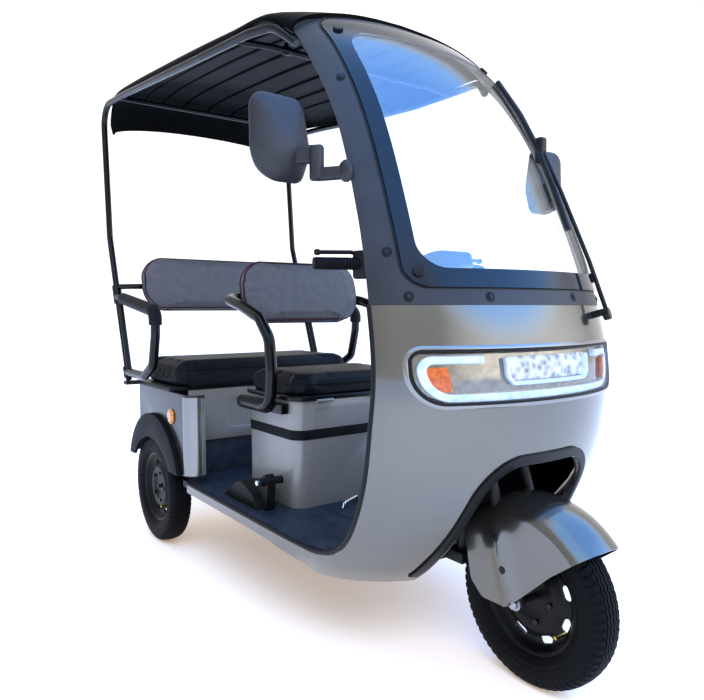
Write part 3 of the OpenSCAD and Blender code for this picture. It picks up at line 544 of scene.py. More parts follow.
# %% Floor and light
clear_selection()
bpy.ops.mesh.primitive_plane_add(size=120, location=(0, 0, 0))
floor = named("studio_floor")
paper, paper_tree, paper_shader, paper_place = finish_start(
    "pale_floor_paint", "#fbf9f4", Roughness=0.7, Emission_Color=linear("#ffdfc8"), Emission_Strength=0.3
)
speck = add(paper_tree, "ShaderNodeTexNoise", {}, {"Vector": paper_place, "Scale": per(400), "Detail": 2.0})
tone(paper_tree, paper_shader, speck.outputs["Fac"], "#faf8f3", "#fcfaf6")
floor.data.materials.append(paper)

yard = bpy.data.worlds.new("open_yard")
bpy.context.scene.world = yard
yard.use_nodes = True
sky = yard.node_tree
direction = add(sky, "ShaderNodeTexCoord", {}, {}).outputs["Generated"]


def closeness(towards):
    """Cosine of the angle between a ray and a direction."""
    return add(sky, "ShaderNodeVectorMath", {"operation": "DOT_PRODUCT"},
               {0: direction, 1: Vector(towards).normalized()}).outputs["Value"]


def field(close, colours):
    """A colour by closeness, from a list of closeness and colour."""
    spread = add(sky, "ShaderNodeValToRGB", {}, {"Fac": close})
    stops = spread.color_ramp.elements
    for i, (position, colour) in enumerate(colours):
        stop = stops[i] if i < 2 else stops.new(position)
        stop.position, stop.color = position, linear(colour)
    return spread.outputs["Color"]


def lift(close, start, end, low, high):
    """A strength that rises from low to high between two values of closeness."""
    spread = add(sky, "ShaderNodeMapRange", {},
                 {"Value": close, "From Min": start, "From Max": end, "To Min": low, "To Max": high})
    return spread.outputs["Result"]


def combined(first, second, operation="ADD"):
    """Two values added, or put together by another operation."""
    return add(sky, "ShaderNodeMath", {"operation": operation}, {0: first, 1: second}).outputs["Value"]


above_bonnet = combined(closeness((0.40, 0.36, 0.84)), 0.04)
above_right = combined(closeness((0.35, -0.35, 0.87)), 0.08, "SUBTRACT")
overhead = combined(above_bonnet, above_right, "MAXIMUM")
blue = field(overhead, ((0.77, "#ffffff"), (0.82, "#d2e4ff"), (0.87, "#90c0ff"), (1.0, "#72aafa")))
shaded = field(closeness((-0.5, -0.86, 0.05)), ((0.3, "#ffffff"), (0.7, "#e2e3e5"), (1.0, "#d4d6d9")))
ahead = lift(closeness((0.8, 0.55, 0.1)), 0.7, 0.95, 0.0, 1.8)
behind = lift(closeness((-0.8, 0.6, 0.05)), 0.75, 0.95, 0.0, 0.3)
bright = combined(lift(overhead, 0.77, 0.88, 1.0, 3.8), combined(ahead, behind))
both = add(sky, "ShaderNodeVectorMath", {"operation": "MULTIPLY"}, {0: blue, 1: shaded})
lit = add(sky, "ShaderNodeVectorMath", {"operation": "SCALE"}, {0: both.outputs["Vector"], "Scale": bright})
sky.links.new(lit.outputs["Vector"], sky.nodes["Background"].inputs["Color"])
sky.nodes["Background"].inputs["Strength"].default_value = 1.0

bpy.ops.object.light_add(type="AREA", location=at(2300, -1500, 3100))
key = bpy.context.object
key.name = "soft_key"
key.data.shape = "RECTANGLE"
key.data.size = 2.6
key.data.size_y = 1.8
key.data.energy = 95
key.data.color = linear("#fff3e2")[:3]
key.visible_glossy = False
key.rotation_euler = (at(-700, 0, 800) - key.location).to_track_quat("-Z", "Y").to_euler()
print("floor and light ready")

# %% [markdown]
# The whole front is one curved surface: at each height it is an arc of an ellipse, and a table
# gives the arc's nose, its half width and the angle at which it ends. Values between two rows come
# from a smooth cubic. The shell, the windscreen, its frame and the headlamp band all use it.

# %% Shape of the front
FRONT = [
    (222, -166, 370, 90), (262, -124, 386, 87), (300, -92, 396, 80), (340, -62, 405, 74),
    (400, -26, 416, 71), (510, 22, 427, 70), (620, 45, 430, 70), (750, 52, 430, 69),
    (900, 18, 429, 67), (1100, -60, 426, 63), (1350, -183, 420, 60), (1530, -310, 414, 60),
    (1640, -425, 408, 60), (1702, -525, 402, 60),
]
FRONT_DEPTH = 250
SHELL_BOTTOM, SHELL_TOP = 228, 897
FRAME_TOP, SEAM_X = 1700, -500


def slope(table, i, column):
    """How fast a column rises at a row, from the rows around it."""
    low, high = max(i - 1, 0), min(i + 1, len(table) - 1)
    return (table[high][column] - table[low][column]) / (table[high][0] - table[low][0])


def smooth(table, s, column):
    """Smooth value at s in a table whose first column rises."""
    i = 0
    while i < len(table) - 2 and s >= table[i + 1][0]:
        i += 1
    step = table[i + 1][0] - table[i][0]
    u = (s - table[i][0]) / step
    return (
        (2 * u ** 3 - 3 * u * u + 1) * table[i][column]
        + (u ** 3 - 2 * u * u + u) * step * slope(table, i, column)
        + (3 * u * u - 2 * u ** 3) * table[i + 1][column]
        + (u ** 3 - u * u) * step * slope(table, i + 1, column)
    )


def front(z, degrees, out=0.0):
    """A point of the front at a height and an angle, set out by some millimetres."""
    a = math.radians(degrees)
    nose, half = smooth(FRONT, z, 1), smooth(FRONT, z, 2)
    return at(nose + out - (FRONT_DEPTH + out) * (1 - math.cos(a)), (half + out) * math.sin(a), z)


def on_front(y, z, out=0.0):
    """A point of the front at a distance from the middle and a height."""
    part = max(-1, min(1, y / smooth(FRONT, z, 2)))
    return front(z, math.degrees(math.asin(part)), out)


def front_skin(name, z0, z1, out, wall, limit=90, across=96, up=80):
    """A curved sheet of the front with a wall that grows inwards."""

    def place(u, v):
        z = z0 + (z1 - z0) * v
        return front(z, min(limit, smooth(FRONT, z, 3)) * (2 * u - 1), out)

    piece = shaped_grid(name, across, up, place)
    apply_modifier(piece, "SOLIDIFY", thickness=wall * MM, offset=-1, use_even_offset=True)
    return piece


def front_tool(outline, x0=-700, x1=500):
    """A block that is an outline in y and z, extruded along x."""
    return plate("tool", [at(x0, y, z) for y, z in outline], ((x1 - x0) * MM, 0, 0))


def dense(outline, closed=True, step=9.0):
    """The same outline with points no further apart than step."""
    points = []
    ends = outline[1:] + outline[:1] if closed else outline[1:]
    for a, b in zip(outline, ends):
        parts = max(1, math.ceil(math.dist(a, b) / step))
        points += [(a[0] + (b[0] - a[0]) * k / parts, a[1] + (b[1] - a[1]) * k / parts) for k in range(parts)]
    return points if closed else points + [outline[-1]]


def strip(name, outline, profile, closed=True):
    """A moulding along an outline on the front: its section is given as (across, out)."""
    outline = dense(outline, closed)
    count, sides = len(outline), len(profile)
    area = sum(a[0] * b[1] - b[0] * a[1] for a, b in zip(outline, outline[1:] + outline[:1]))
    sign = 1 if area > 0 else -1
    cells = count if closed else count - 1

    def place(u, v):
        i, j = round(u * cells) % count, round(v * sides) % sides
        before = outline[i - 1] if closed or i > 0 else outline[0]
        after = outline[(i + 1) % count] if closed or i < count - 1 else outline[-1]
        run = Vector((after[0] - before[0], after[1] - before[1])).normalized()
        across, out = profile[j]
        return on_front(outline[i][0] + sign * run.y * across, outline[i][1] - sign * run.x * across, out)

    piece = shaped_grid(name, cells, sides, place)
    edit(piece)
    bpy.ops.mesh.remove_doubles(threshold=0.00001)
    bpy.ops.mesh.fill_holes(sides=0)
    bpy.ops.mesh.select_all(action="SELECT")
    bpy.ops.mesh.normals_make_consistent(inside=False)
    leave_edit()
    shade(piece, 40)
    return piece


print("nose at the lamp:", [round(c, 3) for c in on_front(0, 744)])

# %% [markdown]
# The painted shell is a pressed sheet with two openings: a wheel arch like a rounded trapezoid and
# the long slot of the headlamp band. It is made as a curved sheet with a wall, and the openings are
# cut by extruded outlines. A flat lip runs around the arch.

# %% Front shell
LAMP_HALF, LAMP_LOW, LAMP_TOP = 350, 686, 802


def lamp_outline(grow=0.0):
    w, low, top = LAMP_HALF + grow, LAMP_LOW - grow, LAMP_TOP + grow
    return round_corners(
        [(-w, low, 70 + grow), (w, low, 70 + grow), (w, top, 28 + grow), (-w, top, 28 + grow)], 14)


def arch_outline(grow=0.0):
    return round_corners(
        [(-216 - grow, 150, 1), (216 + grow, 150, 1), (162 + grow, 536 + grow, 98 + grow),
         (-162 - grow, 536 + grow, 98 + grow)], 14)


shell = front_skin("front_shell_panel", SHELL_BOTTOM, SHELL_TOP, 0, 8, across=128, up=96)
cut(shell, front_tool(arch_outline()))
cut(shell, front_tool(lamp_outline(), x0=-160))
shade(shell, 30)
settle(shell, "chassis", silver_paint, ("front_shell",))

# %% Wheel arch lip
arch_path = [p for p in arch_outline(1) if p[1] > SHELL_BOTTOM + 20]
foot = [(-211, SHELL_BOTTOM + 16), (211, SHELL_BOTTOM + 16)]
arch_path = sorted(arch_path, key=lambda p: math.atan2(p[0], p[1] - 300))
arch_path = [foot[0]] + arch_path + [foot[1]]
lip = strip("wheel_arch_lip", arch_path,
            [(0, -9), (0, 5), (1.2, 6.4), (21.5, 6.8), (23, 5.6), (23, -1)], closed=False)
settle(lip, "chassis", lip_paint, ("arch_lip",))

# %% [markdown]
# Below the door the shell runs on rearwards as a narrow band that covers the sill. It starts at the
# shell's rear edge with the shell's own section, and fades into a flat strip half way along. Its top
# is folded in over the edge of the floor. Rubber edging covers the rear edge of the shell and runs on
# along the top of the band.

# %% Fairing of the sills and rubber edging
SILL_OUT, SILL_END, SILL_TOP = 394.8, -1176, 288
SILL_RISE, SILL_CORNER, EDGE_LOW = 28, 36, 334
FOLD_AT, FOLD_WIDTH = 0.8, 14


def ease(t):
    """A smooth step from 0 to 1."""
    t = max(0.0, min(1.0, t))
    return t * t * (3 - 2 * t)


def fairing_point(u, v, side):
    run = u ** 1.6
    low = SHELL_BOTTOM + 2 + SILL_RISE * (1 - (1 - min(1.0, run / 0.42)) ** 2)
    corner = 1 - min(1.0, run / 0.09)
    top = SILL_TOP + SILL_CORNER * (1 - math.sqrt(1 - corner * corner))
    z = low + (top - low) * min(1.0, v / FOLD_AT)
    fold = FOLD_WIDTH * max(0.0, (v - FOLD_AT) / (1 - FOLD_AT)) + 0.9 * (1 - ease(run / 0.02))
    start = front(z, side * smooth(FRONT, z, 3))
    end = at(SILL_END, side * SILL_OUT, z)
    x = start.x + 2 * MM + (end.x - start.x - 2 * MM) * run
    return Vector((x, start.y + (end.y - start.y) * ease(run / 0.25) - side * fold * MM, z * MM))


fairings, edging = [], []
for side in (-1, 1):
    fairings.append(thin_sheet("fairing", 96, 10, lambda u, v: fairing_point(u, v, side), 0.0012))
    inset = Vector((0, -side * 0.0035, 0.001))
    edge = [fairing_point(1 - k / 48, FOLD_AT, side) + inset for k in range(47)]
    for k in range(49):
        z = EDGE_LOW + (SHELL_TOP - 2 - EDGE_LOW) * k / 48
        edge.append(front(z, side * (smooth(FRONT, z, 3) + 0.3), -4))
    edging.append(tube("edge", edge, 0.0065, bend=0))
settle(join("sill_fairings", fairings), "chassis", silver_paint, ("sills",))
settle(join("door_edge_rubber", edging), "chassis", seal_rubber)

# %% [markdown]
# The headlamp band is a clear cover over a metallised tray. Seen from outside it has a bright trim,
# a dark gasket, an ice-white light guide that runs along the bottom and round both ends, an amber
# turn lamp near each end and a fluted lens in the middle. Each is a moulding along an outline, or a
# skin of the front that is trimmed by an outline.

# %% Headlamp trim, gasket and tray
lamp_ring = strip("headlamp_trim", lamp_outline(),
                  [(0.4, -8), (0.4, 2), (1.8, 4), (6.5, 4), (9.5, 1.6), (9.5, 0.4), (3, -8)])
settle(lamp_ring, "chassis", trim_and_painted_highlight_paint)
gasket = strip("headlamp_gasket", lamp_outline(-4.5),
               [(0, -6), (0, 2.4), (1, 3), (3.6, 3), (4.6, 2.2), (4.6, -6)])
settle(gasket, "chassis", seal_rubber)


def front_patch(name, outline, out, wall, limit=64, across=110, up=14):
    """A skin of the front that is trimmed to an outline."""
    heights = [z for y, z in outline]
    piece = front_skin(name, min(heights) - 4, max(heights) + 4, out, wall, limit, across, up)
    cut(piece, front_tool(outline), "INTERSECT")
    shade(piece, 30)
    return piece


tray = front_patch("headlamp_reflector", lamp_outline(-0.5), -20, 4)
wall = strip("tray_wall", lamp_outline(-2.2), [(0, -24), (0, -4), (1.6, -4), (1.6, -24)])
settle(join("headlamp_reflector", [tray, wall]), "chassis", reflector, ("headlamp_housing",))
cover = front_patch("headlamp_cover", lamp_outline(-4.6), 1.5, 2)
settle(cover, "chassis", cover_clear, ("headlamp_lens",))

# %% Light guide, turn lamps and middle lens
guide_end = round_corners([(-200, 781, 1), (-331, 781, 24), (-331, 698, 62), (-200, 698, 1)], 10)
guide_path = [(-200, 781)] + guide_end[11:33]
guide_path += [(-y, z) for y, z in reversed(guide_path)]
guide = strip("light_guide_bar", guide_path,
              [(-9, -20), (-9, -9), (-6.5, -6.5), (6.5, -6.5), (9, -9), (9, -20)], closed=False)
settle(guide, "chassis", white_lamp, ("light_guide",))

turn_shape = [(-319, 765, 7), (-275, 765, 5), (-265, 711, 6), (-289, 713, 12), (-316, 738, 12)]
amber = []
for side in (1, -1):
    outline = [(side * y, z) for y, z in round_corners(turn_shape, 6)]
    amber.append(front_patch("turn", outline, -9, 9, across=150, up=16))
settle(join("turn_lamp_lenses", amber), "chassis", amber_lamp, ("turn_lamps",))

lens_frame = [(-143, 783), (-141, 742), (-126, 726), (126, 726), (141, 742), (143, 783)]
rim = strip("lens_frame", lens_frame,
            [(-4.5, -19), (-4.5, -7), (-3, -5), (3, -5), (4.5, -7), (4.5, -19)], closed=False)
settle(rim, "chassis", white_lamp)


def lens_point(u, v):
    y = -138 + 276 * u
    z = 733 + 52 * v
    dome = abs(math.sin(math.pi * (y + 138) / 276 * 3)) * math.sin(math.pi * v)
    return on_front(y, z, -15 + 7.0 * dome + 0.8 * math.sin(y * 2 * math.pi / 23))


lens = shaped_grid("fluted_lens", 180, 24, lens_point)
apply_modifier(lens, "SOLIDIFY", thickness=0.004, offset=-1)
shade(lens, 50)
settle(lens, "chassis", lens_plastic)

# %% [markdown]
# The windscreen frame is one grained moulding: a lower band, two pillars and a header. The screen is
# lapped on it from outside. Its wide border is a gloss print, so the panel is made as two skins with
# one outer face: the printed ring and the clear middle. A dark seam shows where the panel ends.

# %% Windscreen frame
GLASS_LOW, GLASS_TOP, GLASS_HALF_LOW, GLASS_HALF_TOP = 936, 1646, 336, 294


def screen_outline(side=0.0, low=0.0, top=0.0, low_corner=46, top_corner=46):
    """The screen's outline with its sides, lower and upper edge set in by some millimetres."""
    wide, narrow = GLASS_HALF_LOW - side, GLASS_HALF_TOP - side
    return round_corners(
        [(-wide, GLASS_LOW + low, low_corner), (wide, GLASS_LOW + low, low_corner),
         (narrow, GLASS_TOP - top, top_corner), (-narrow, GLASS_TOP - top, top_corner)], 12)


screen_frame = front_skin("windscreen_frame_moulding", SHELL_TOP + 0.6, FRAME_TOP, 0, 14, across=120, up=120)
cut(screen_frame, front_tool(screen_outline(24, 28, 38), x0=-480))
trim(screen_frame, at(SEAM_X, 0, 0), (1, 0, 0))
shade(screen_frame, 30)
settle(screen_frame, "chassis", frame_plastic, ("windscreen_frame",))

# %% Windscreen panel
clear_area = screen_outline(34, 41, 50, 56, 66)
panel = front_skin("windscreen_panel", GLASS_LOW - 6, GLASS_TOP + 6, 5.2, 4, limit=58, across=110, up=100)
pick(panel)
bpy.ops.object.duplicate()
border = bpy.context.object
cut(panel, front_tool(clear_area), "INTERSECT")
cut(border, front_tool(screen_outline()), "INTERSECT")
cut(border, front_tool(screen_outline(34.3, 41.3, 50.3, 56, 66)))
shade(panel, 30)
shade(border, 30)
border = named("windscreen_border")
settle(panel, "chassis", screen_clear, ("windscreen",))
settle(border, "chassis", border_print_painted_sky_tint)
seam = strip("windscreen_seal", screen_outline(-1.6, -1.6, -1.6),
             [(-1.2, -1), (-1.2, 1.6), (0, 2), (1.2, 1.6), (1.2, -1)])
settle(seam, "chassis", seal_rubber)

# %% [markdown]
# The screen is held by black caps at its corners and the frame by recessed screws. A cap is a short
# turned disc with an eased rim, set square to the surface it sits on.


# %% Caps and screws of the screen
def front_normal(y, z):
    across = on_front(y + 2, z) - on_front(y - 2, z)
    up = on_front(y, z + 2) - on_front(y, z - 2)
    return across.cross(up).normalized()


def stud(name, place, normal, radius, height, eased=0.0012):
    """A button head with an eased rim that stands along a normal."""
    clear_selection()
    bpy.ops.mesh.primitive_cylinder_add(vertices=28, radius=radius, depth=height)
    head = bpy.context.object
    ease_edges(head, eased)
    pick(head)
    head.rotation_euler = normal.to_track_quat("Z", "Y").to_euler()
    head.location = place + normal * height / 2
    head = named(name)
    shade(head, 40)
    return head


def on_skin(name, y, z, radius, height, out):
    return stud(name, on_front(y, z, out), front_normal(y, z), radius, height)


caps = []
for side in (-1, 1):
    caps.append(on_skin("cap", side * 262, 1602, 0.0135, 0.007, 5.0))
    caps.append(on_skin("cap", side * 302, 970, 0.0135, 0.007, 5.0))
settle(join("screen_caps", caps), "chassis", lamp_plastic)
washers, screws = [], []
SCREWS = [(-325, 1444), (325, 1444), (-350, 1012), (350, 1012),
          (-331, 915), (-160, 915), (123, 917), (331, 915)]
for y, z in SCREWS:
    washers.append(on_skin("washer", y, z, 0.0115, 0.0018, -0.2))
    screws.append(on_skin("screw", y, z, 0.0052, 0.0042, -0.2))
settle(join("frame_screw_washers", washers), "chassis", seal_rubber)
settle(join("frame_screws", screws), "chassis", dark_steel)

# %% [markdown]
# The wiper is parked along the left edge of the screen: a turned spindle and cap, a thin bent arm
# with a tie bar, and a blade of two bars with a clip in the middle.

# %% Wiper
WIPER_BLADE = [(1090, 184), (1200, 194), (1312, 204), (1425, 212), (1538, 220)]
spindle = on_skin("spindle", 216, 873, 0.009, 0.034, 0)
knuckle = on_skin("knuckle", 216, 873, 0.015, 0.016, 26)
arm_line = [on_front(216, 873, 36), on_front(212, 1010, 30), on_front(208, 1200, 26), on_front(205, 1312, 26)]
arm = tube("arm", arm_line, 0.0055, bend=0.06)
tie = tube("tie", [p + Vector((0, 0.007, 0)) for p in arm_line[:3]], 0.0022, bend=0.06)
backing = tube("backing", [on_front(y - 3, z, 17) for z, y in WIPER_BLADE], 0.0075, bend=0.3)
lip_bar = tube("lip_bar", [on_front(y + 8, z, 12) for z, y in WIPER_BLADE], 0.006, bend=0.3)
squeegee = tube("squeegee", [on_front(y + 2, z, 8.5) for z, y in WIPER_BLADE], 0.0026, bend=0.3)
clip_centre = on_front(206, 1312, 20)
bpy.ops.mesh.primitive_cube_add(size=1, location=clip_centre, scale=(0.024, 0.026, 0.07))
clip = named("clip")
apply_modifier(clip, "BEVEL", width=0.006, segments=3)
shade(clip)
wiper = join("wiper_blade_and_arm", [arm, spindle, knuckle, tie, backing, lip_bar, squeegee, clip])
settle(wiper, "chassis", lamp_plastic, ("wiper",))

# %% [markdown]
# The roof is vacuum formed: a crowned sheet whose sides roll down to a lip, with long stiffening
# ribs pressed into it that show from below. The sheet comes from a table of sections along the
# vehicle, and the ribs are low bars that follow its underside.

# %% Roof
ROOF = [
    (-1925, 1680, 1632, 400), (-1900, 1742, 1668, 416), (-1840, 1786, 1728, 424),
    (-1760, 1796, 1742, 436), (-1600, 1794, 1728, 444), (-1190, 1768, 1683, 442),
    (-925, 1744, 1660, 432), (-750, 1726, 1651, 416), (-600, 1712, 1648, 398),
    (-545, 1706, 1628, 380), (-500, 1697, 1596, 362),
]
ROOF_ARC = [(0, 0, 0), (1, 0.28, 0.04), (2, 0.52, 0.14), (3, 0.72, 0.30), (4, 0.87, 0.49),
            (5, 0.96, 0.68), (6, 0.995, 0.85), (7, 1, 1)]


def roof_point(x, s, drop=0.0):
    """A point of the roof at a length and a place s from -7 to 7 across its section."""
    crown, edge, half = (smooth(ROOF, x, c) for c in (1, 2, 3))
    crown, half = crown - drop, half - drop
    k = abs(s)
    return at(x, math.copysign(half * smooth(ROOF_ARC, k, 1), s),
              crown - (crown - edge) * smooth(ROOF_ARC, k, 2))


def along_roof(v):
    return -1924.5 + 1423.5 * (v * v / 0.6 if v < 0.3 else 0.15 + (v - 0.3) * 0.85 / 0.7)


outer = shaped_grid("roof_moulding", 84, 72, lambda u, v: roof_point(along_roof(v), 14 * (0.5 - u)))
outward(outer)
if outer.data.polygons[len(outer.data.polygons) // 2].normal.z < 0:
    edit(outer)
    bpy.ops.mesh.flip_normals()
    leave_edit()
apply_modifier(outer, "SOLIDIFY", thickness=0.010, offset=-1, use_even_offset=True)
shade(outer, 40)
ribs = []
for k in range(-3, 4):
    s = 0.96 * k
    ribs.append(tube("rib", [roof_point(-1850 + 1320 * i / 24, s, 12) for i in range(25)], 0.006, bend=0))
roof = join("roof_moulding", [outer] + ribs)
settle(roof, "chassis", roof_plastic, ("roof",))

# %% [markdown]
# The canopy stands on two gloss black tubes. Each runs under the roof's edge, bends at the rear
# corner and comes down as the rear post. Two cross bars tie them, held by small clamps.

# %% Canopy tubes
POST_FOOT, POST_KNEE = at(-1650, 440, 614.2), at(-1862, 440, 1190)


def on_post(z):
    """A point on the lower, leaning part of the left rear post."""
    return POST_FOOT + (POST_KNEE - POST_FOOT) * ((z * MM - POST_FOOT.z) / (POST_KNEE.z - POST_FOOT.z))


rail_line = [at(*p) for p in ((-503, 346, 1572), (-560, 382, 1624), (-660, 402, 1634), (-925, 424, 1648),
                              (-1190, 434, 1671), (-1600, 438, 1714))]
rail_line += [at(-1913, 440, 1740), POST_KNEE, POST_FOOT]
left_rail = tube("left_rail", rail_line, 0.0122, bend=0.08)
right_rail = mirrored(left_rail, "right_rail")
bars = [
    tube("front_bar", [at(-720, -404, 1632), at(-720, -300, 1640), at(-720, 300, 1640), at(-720, 404, 1632)],
         0.009, bend=0.3),
    tube("rear_bar", [at(-1700, -439, 1722), at(-1700, 439, 1722)], 0.009, bend=0),
]
clamps = []
for y in (-250, -150, 150, 250):
    clamps.append(drum("clamp", at(-720, y, 1640), 0.0125, 0.024, "Y", 32, 0.002))
    clamps.append(drum("clamp_lug", at(-720, y, 1652), 0.006, 0.02, "Z", 20, 0.001))
canopy = join("canopy_tubes", [left_rail, right_rail] + bars + clamps)
settle(canopy, "chassis", tube_enamel, ("canopy_frame",))

# %% [markdown]
# A mirror has a deep moulded bowl, round at the top and tapering below, with a bright glass set in
# its rear. The bowl is the skin stretched over four balls, cut flat at the back. A stepped arm of
# blocks and a ball foot carry it on the pillar.

# %% Mirrors
MIRROR = at(-372, 482, 1285)
# Distance outboard, height above the middle, radius and half depth of the four balls
MIRROR_CORNERS = [(32, 62, 38, 21), (-42, 68, 30, 18), (-46, -74, 26, 17), (-9, -22, 78, 37)]
MIRROR_CUT = -8


def mirror_bowl():
    balls = []
    for outboard, up, radius, deep in MIRROR_CORNERS:
        clear_selection()
        bpy.ops.mesh.primitive_uv_sphere_add(
            segments=40, ring_count=24, radius=radius * MM, scale=(deep / radius, 1, 1),
            location=MIRROR + Vector((0, outboard * MM, up * MM)))
        balls.append(named("ball"))
    bowl = join("bowl", balls)
    edit(bowl)
    bpy.ops.mesh.convex_hull()
    leave_edit()
    trim(bowl, MIRROR + Vector((MIRROR_CUT * MM, 0, 0)), (1, 0, 0))
    apply_modifier(bowl, "REMESH", mode="VOXEL", voxel_size=0.003)
    apply_modifier(bowl, "SMOOTH", factor=0.5, iterations=6)
    shade(bowl, 60)
    return bowl


def block(name, centre, size, bevel, turn_z=0.0):
    """A moulded block with eased edges."""
    clear_selection()
    bpy.ops.mesh.primitive_cube_add(size=1, scale=size)
    piece = bpy.context.object
    bpy.ops.object.transform_apply(location=True, rotation=True, scale=True)
    apply_modifier(piece, "BEVEL", width=bevel, segments=4)
    pick(piece)
    piece.rotation_euler = (0, 0, turn_z)
    piece.location = centre
    piece = named(name)
    shade(piece, 40)
    return piece


arm_turn = math.atan2(-64, 72)
mirror_parts = [
    mirror_bowl(),
    block("reach", at(-335, 432, 1246), (0.096, 0.022, 0.042), 0.007, arm_turn),
    drum("elbow", at(-300, 418, 1222), 0.017, 0.076, "Z", 40, 0.004),
    block("foot_arm", at(-268, 396, 1197), (0.082, 0.022, 0.03), 0.007, math.atan2(-42, 62)),
]
clear_selection()
bpy.ops.mesh.primitive_uv_sphere_add(segments=40, ring_count=20, radius=0.030, location=at(-242, 378, 1197),
                                     scale=(0.75, 0.5, 0.95))
boot = named("boot")
trim(boot, on_front(372, 1197, 1.0), front_normal(372, 1197))
shade(boot, 50)
left_mirror = join("mirror_left", mirror_parts + [boot])
right_mirror = mirrored(left_mirror, "mirror_right")
shade(right_mirror, 50)
settle(left_mirror, "chassis", frame_plastic, ("mirrors",))
settle(right_mirror, "chassis", frame_plastic)
refined("mirror_glass", mirror_silver, "mirror_glasses", 0.0008)

# %% [markdown]
# The tyres have a road tread: five fine zigzag grooves and slots across each shoulder.
# The tyre is a section spun about the axle. Around the middle the points swing from side to side in
# a zigzag, so that the edges of the grooves follow the points of the mesh and stay sharp.

# %% Tyres
TREAD_PERIODS, ROWS_PER_PERIOD = 64, 6
TREAD_SWING, GROOVE_DEPTH, SLOT_DEPTH = 2.2, 4.2, 3.0
# Distance from the middle, radius, share of the zigzag and depth class (1 groove, 2 shoulder slot)
TYRE_SECTION = [
    (-27, 131, 0, 0), (-33, 138, 0, 0), (-37, 146, 0, 0), (-38.2, 148, 0, 0), (-37.6, 150, 0, 0),
    (-39.2, 158, 0, 0), (-40.4, 160, 0, 0), (-39.8, 162, 0, 0), (-40.9, 172, 0, 0), (-40.4, 182, 0, 0),
    (-39.2, 184, 0, 0), (-38.8, 189, 0, 2), (-37, 194.4, 0, 2), (-33.6, 199, 0, 2), (-28.4, 202.4, 0.5, 2),
    (-25.6, 203.7, 1, 2), (-25.2, 203.9, 1, 0), (-22.6, 204.7, 1, 0), (-22.2, 204.8, 1, 1),
    (-19.4, 205.4, 1, 1), (-19, 205.5, 1, 0), (-13, 206.5, 1, 0), (-12.6, 206.6, 1, 1), (-9.8, 206.9, 1, 1),
    (-9.4, 207, 1, 0), (-2.2, 207.4, 1, 0), (-1.8, 207.4, 1, 1), (0, 207.5, 1, 1),
]
TYRE_SECTION += [(-y, r, z, d) for y, r, z, d in reversed(TYRE_SECTION[:-1])]


def tyre_piece(name, hub):
    rows = TREAD_PERIODS * ROWS_PER_PERIOD
    last = len(TYRE_SECTION) - 1

    def place(u, v):
        i, j = round(u * rows) % rows, round(v * last)
        y, radius, swing, kind = TYRE_SECTION[j]
        beat = i % ROWS_PER_PERIOD
        zigzag = 1 - abs(beat - ROWS_PER_PERIOD / 2) * 4 / ROWS_PER_PERIOD
        y += swing * TREAD_SWING * zigzag
        if kind == 1:
            radius -= GROOVE_DEPTH
        if kind == 2 and (beat in (0, 1) if y < 0 else beat in (3, 4)):
            radius -= SLOT_DEPTH
            y -= math.copysign(1.4 if radius < 193 else 0.0, y)
        turn = 2 * math.pi * i / rows
        return hub + Vector((math.cos(turn) * radius, y, math.sin(turn) * radius)) * MM

    piece = shaped_grid(name, rows, last, place)
    edit(piece)
    bpy.ops.mesh.remove_doubles(threshold=0.00001)
    bpy.ops.mesh.select_all(action="DESELECT")
    bpy.ops.mesh.select_non_manifold()
    bpy.ops.mesh.bridge_edge_loops()
    bpy.ops.mesh.select_all(action="SELECT")
    bpy.ops.mesh.normals_make_consistent(inside=False)
    leave_edit()
    shade(piece, 32)
    return piece


for node, body, hub in (
    ("front_tyre", "front_wheel", axle),
    ("rear_tyre_right", "rear_wheel_right", REAR_HUBS[-1]),
    ("rear_tyre_left", "rear_wheel_left", REAR_HUBS[1]),
):
    settle(tyre_piece(node.replace("tyre", "road_tyre"), hub), body, tyre_rubber, (node,))

# %% [markdown]
# A pressed steel wheel has a rolled edge, a dished disc with oval slots and a plain hub in a ring of
# five nuts. The dish is spun from a section, and the slots are cut by rounded blocks.

# %% Wheels
SLOTS, SLOT_R = 8, 98
# Distance outboard from the wheel's middle and radius, along the outer face and back along the inner
DISC_SECTION = [
    (10, 8.4), (10, 40), (16, 50), (19, 64), (17, 78), (8, 88), (4, 98), (6, 108), (14, 116), (22, 121),
    (24, 124), (27, 130.6), (24, 130.6), (19, 125.5), (-19, 125.5), (-24, 130.6), (-27, 130.6), (-24, 122),
    (-18, 120), (-4, 118), (0, 108), (-2, 98), (2, 88), (11, 78), (13, 64), (10, 54), (4, 44), (4, 8.4),
]


def wheel_disc(name, hub, side):
    """A spun wheel whose outer face looks to the side given by 1 or -1."""
    count, turns = len(DISC_SECTION), 96

    def place(u, v):
        i, j = round(u * turns) % turns, round(v * count) % count
        y, radius = DISC_SECTION[j]
        turn = 2 * math.pi * i / turns
        return hub + Vector((math.cos(turn) * radius, side * y, math.sin(turn) * radius)) * MM

    disc = shaped_grid(name, turns, count, place)
    outward(disc)
    for k in range(SLOTS):
        a = 2 * math.pi * (k + 0.5) / SLOTS
        along = Vector((-math.sin(a), 0, math.cos(a)))
        out = Vector((math.cos(a), 0, math.sin(a)))
        centre = hub + out * (SLOT_R * MM)
        ring = [centre + along * (p[0] * MM) + out * (p[1] * MM) - Vector((0, 0.06, 0))
                for p in round_box(18, 9, 8.9, 6)]
        cut(disc, plate("slot", ring, (0, 0.12, 0)))
    shade(disc, 35)
    return disc


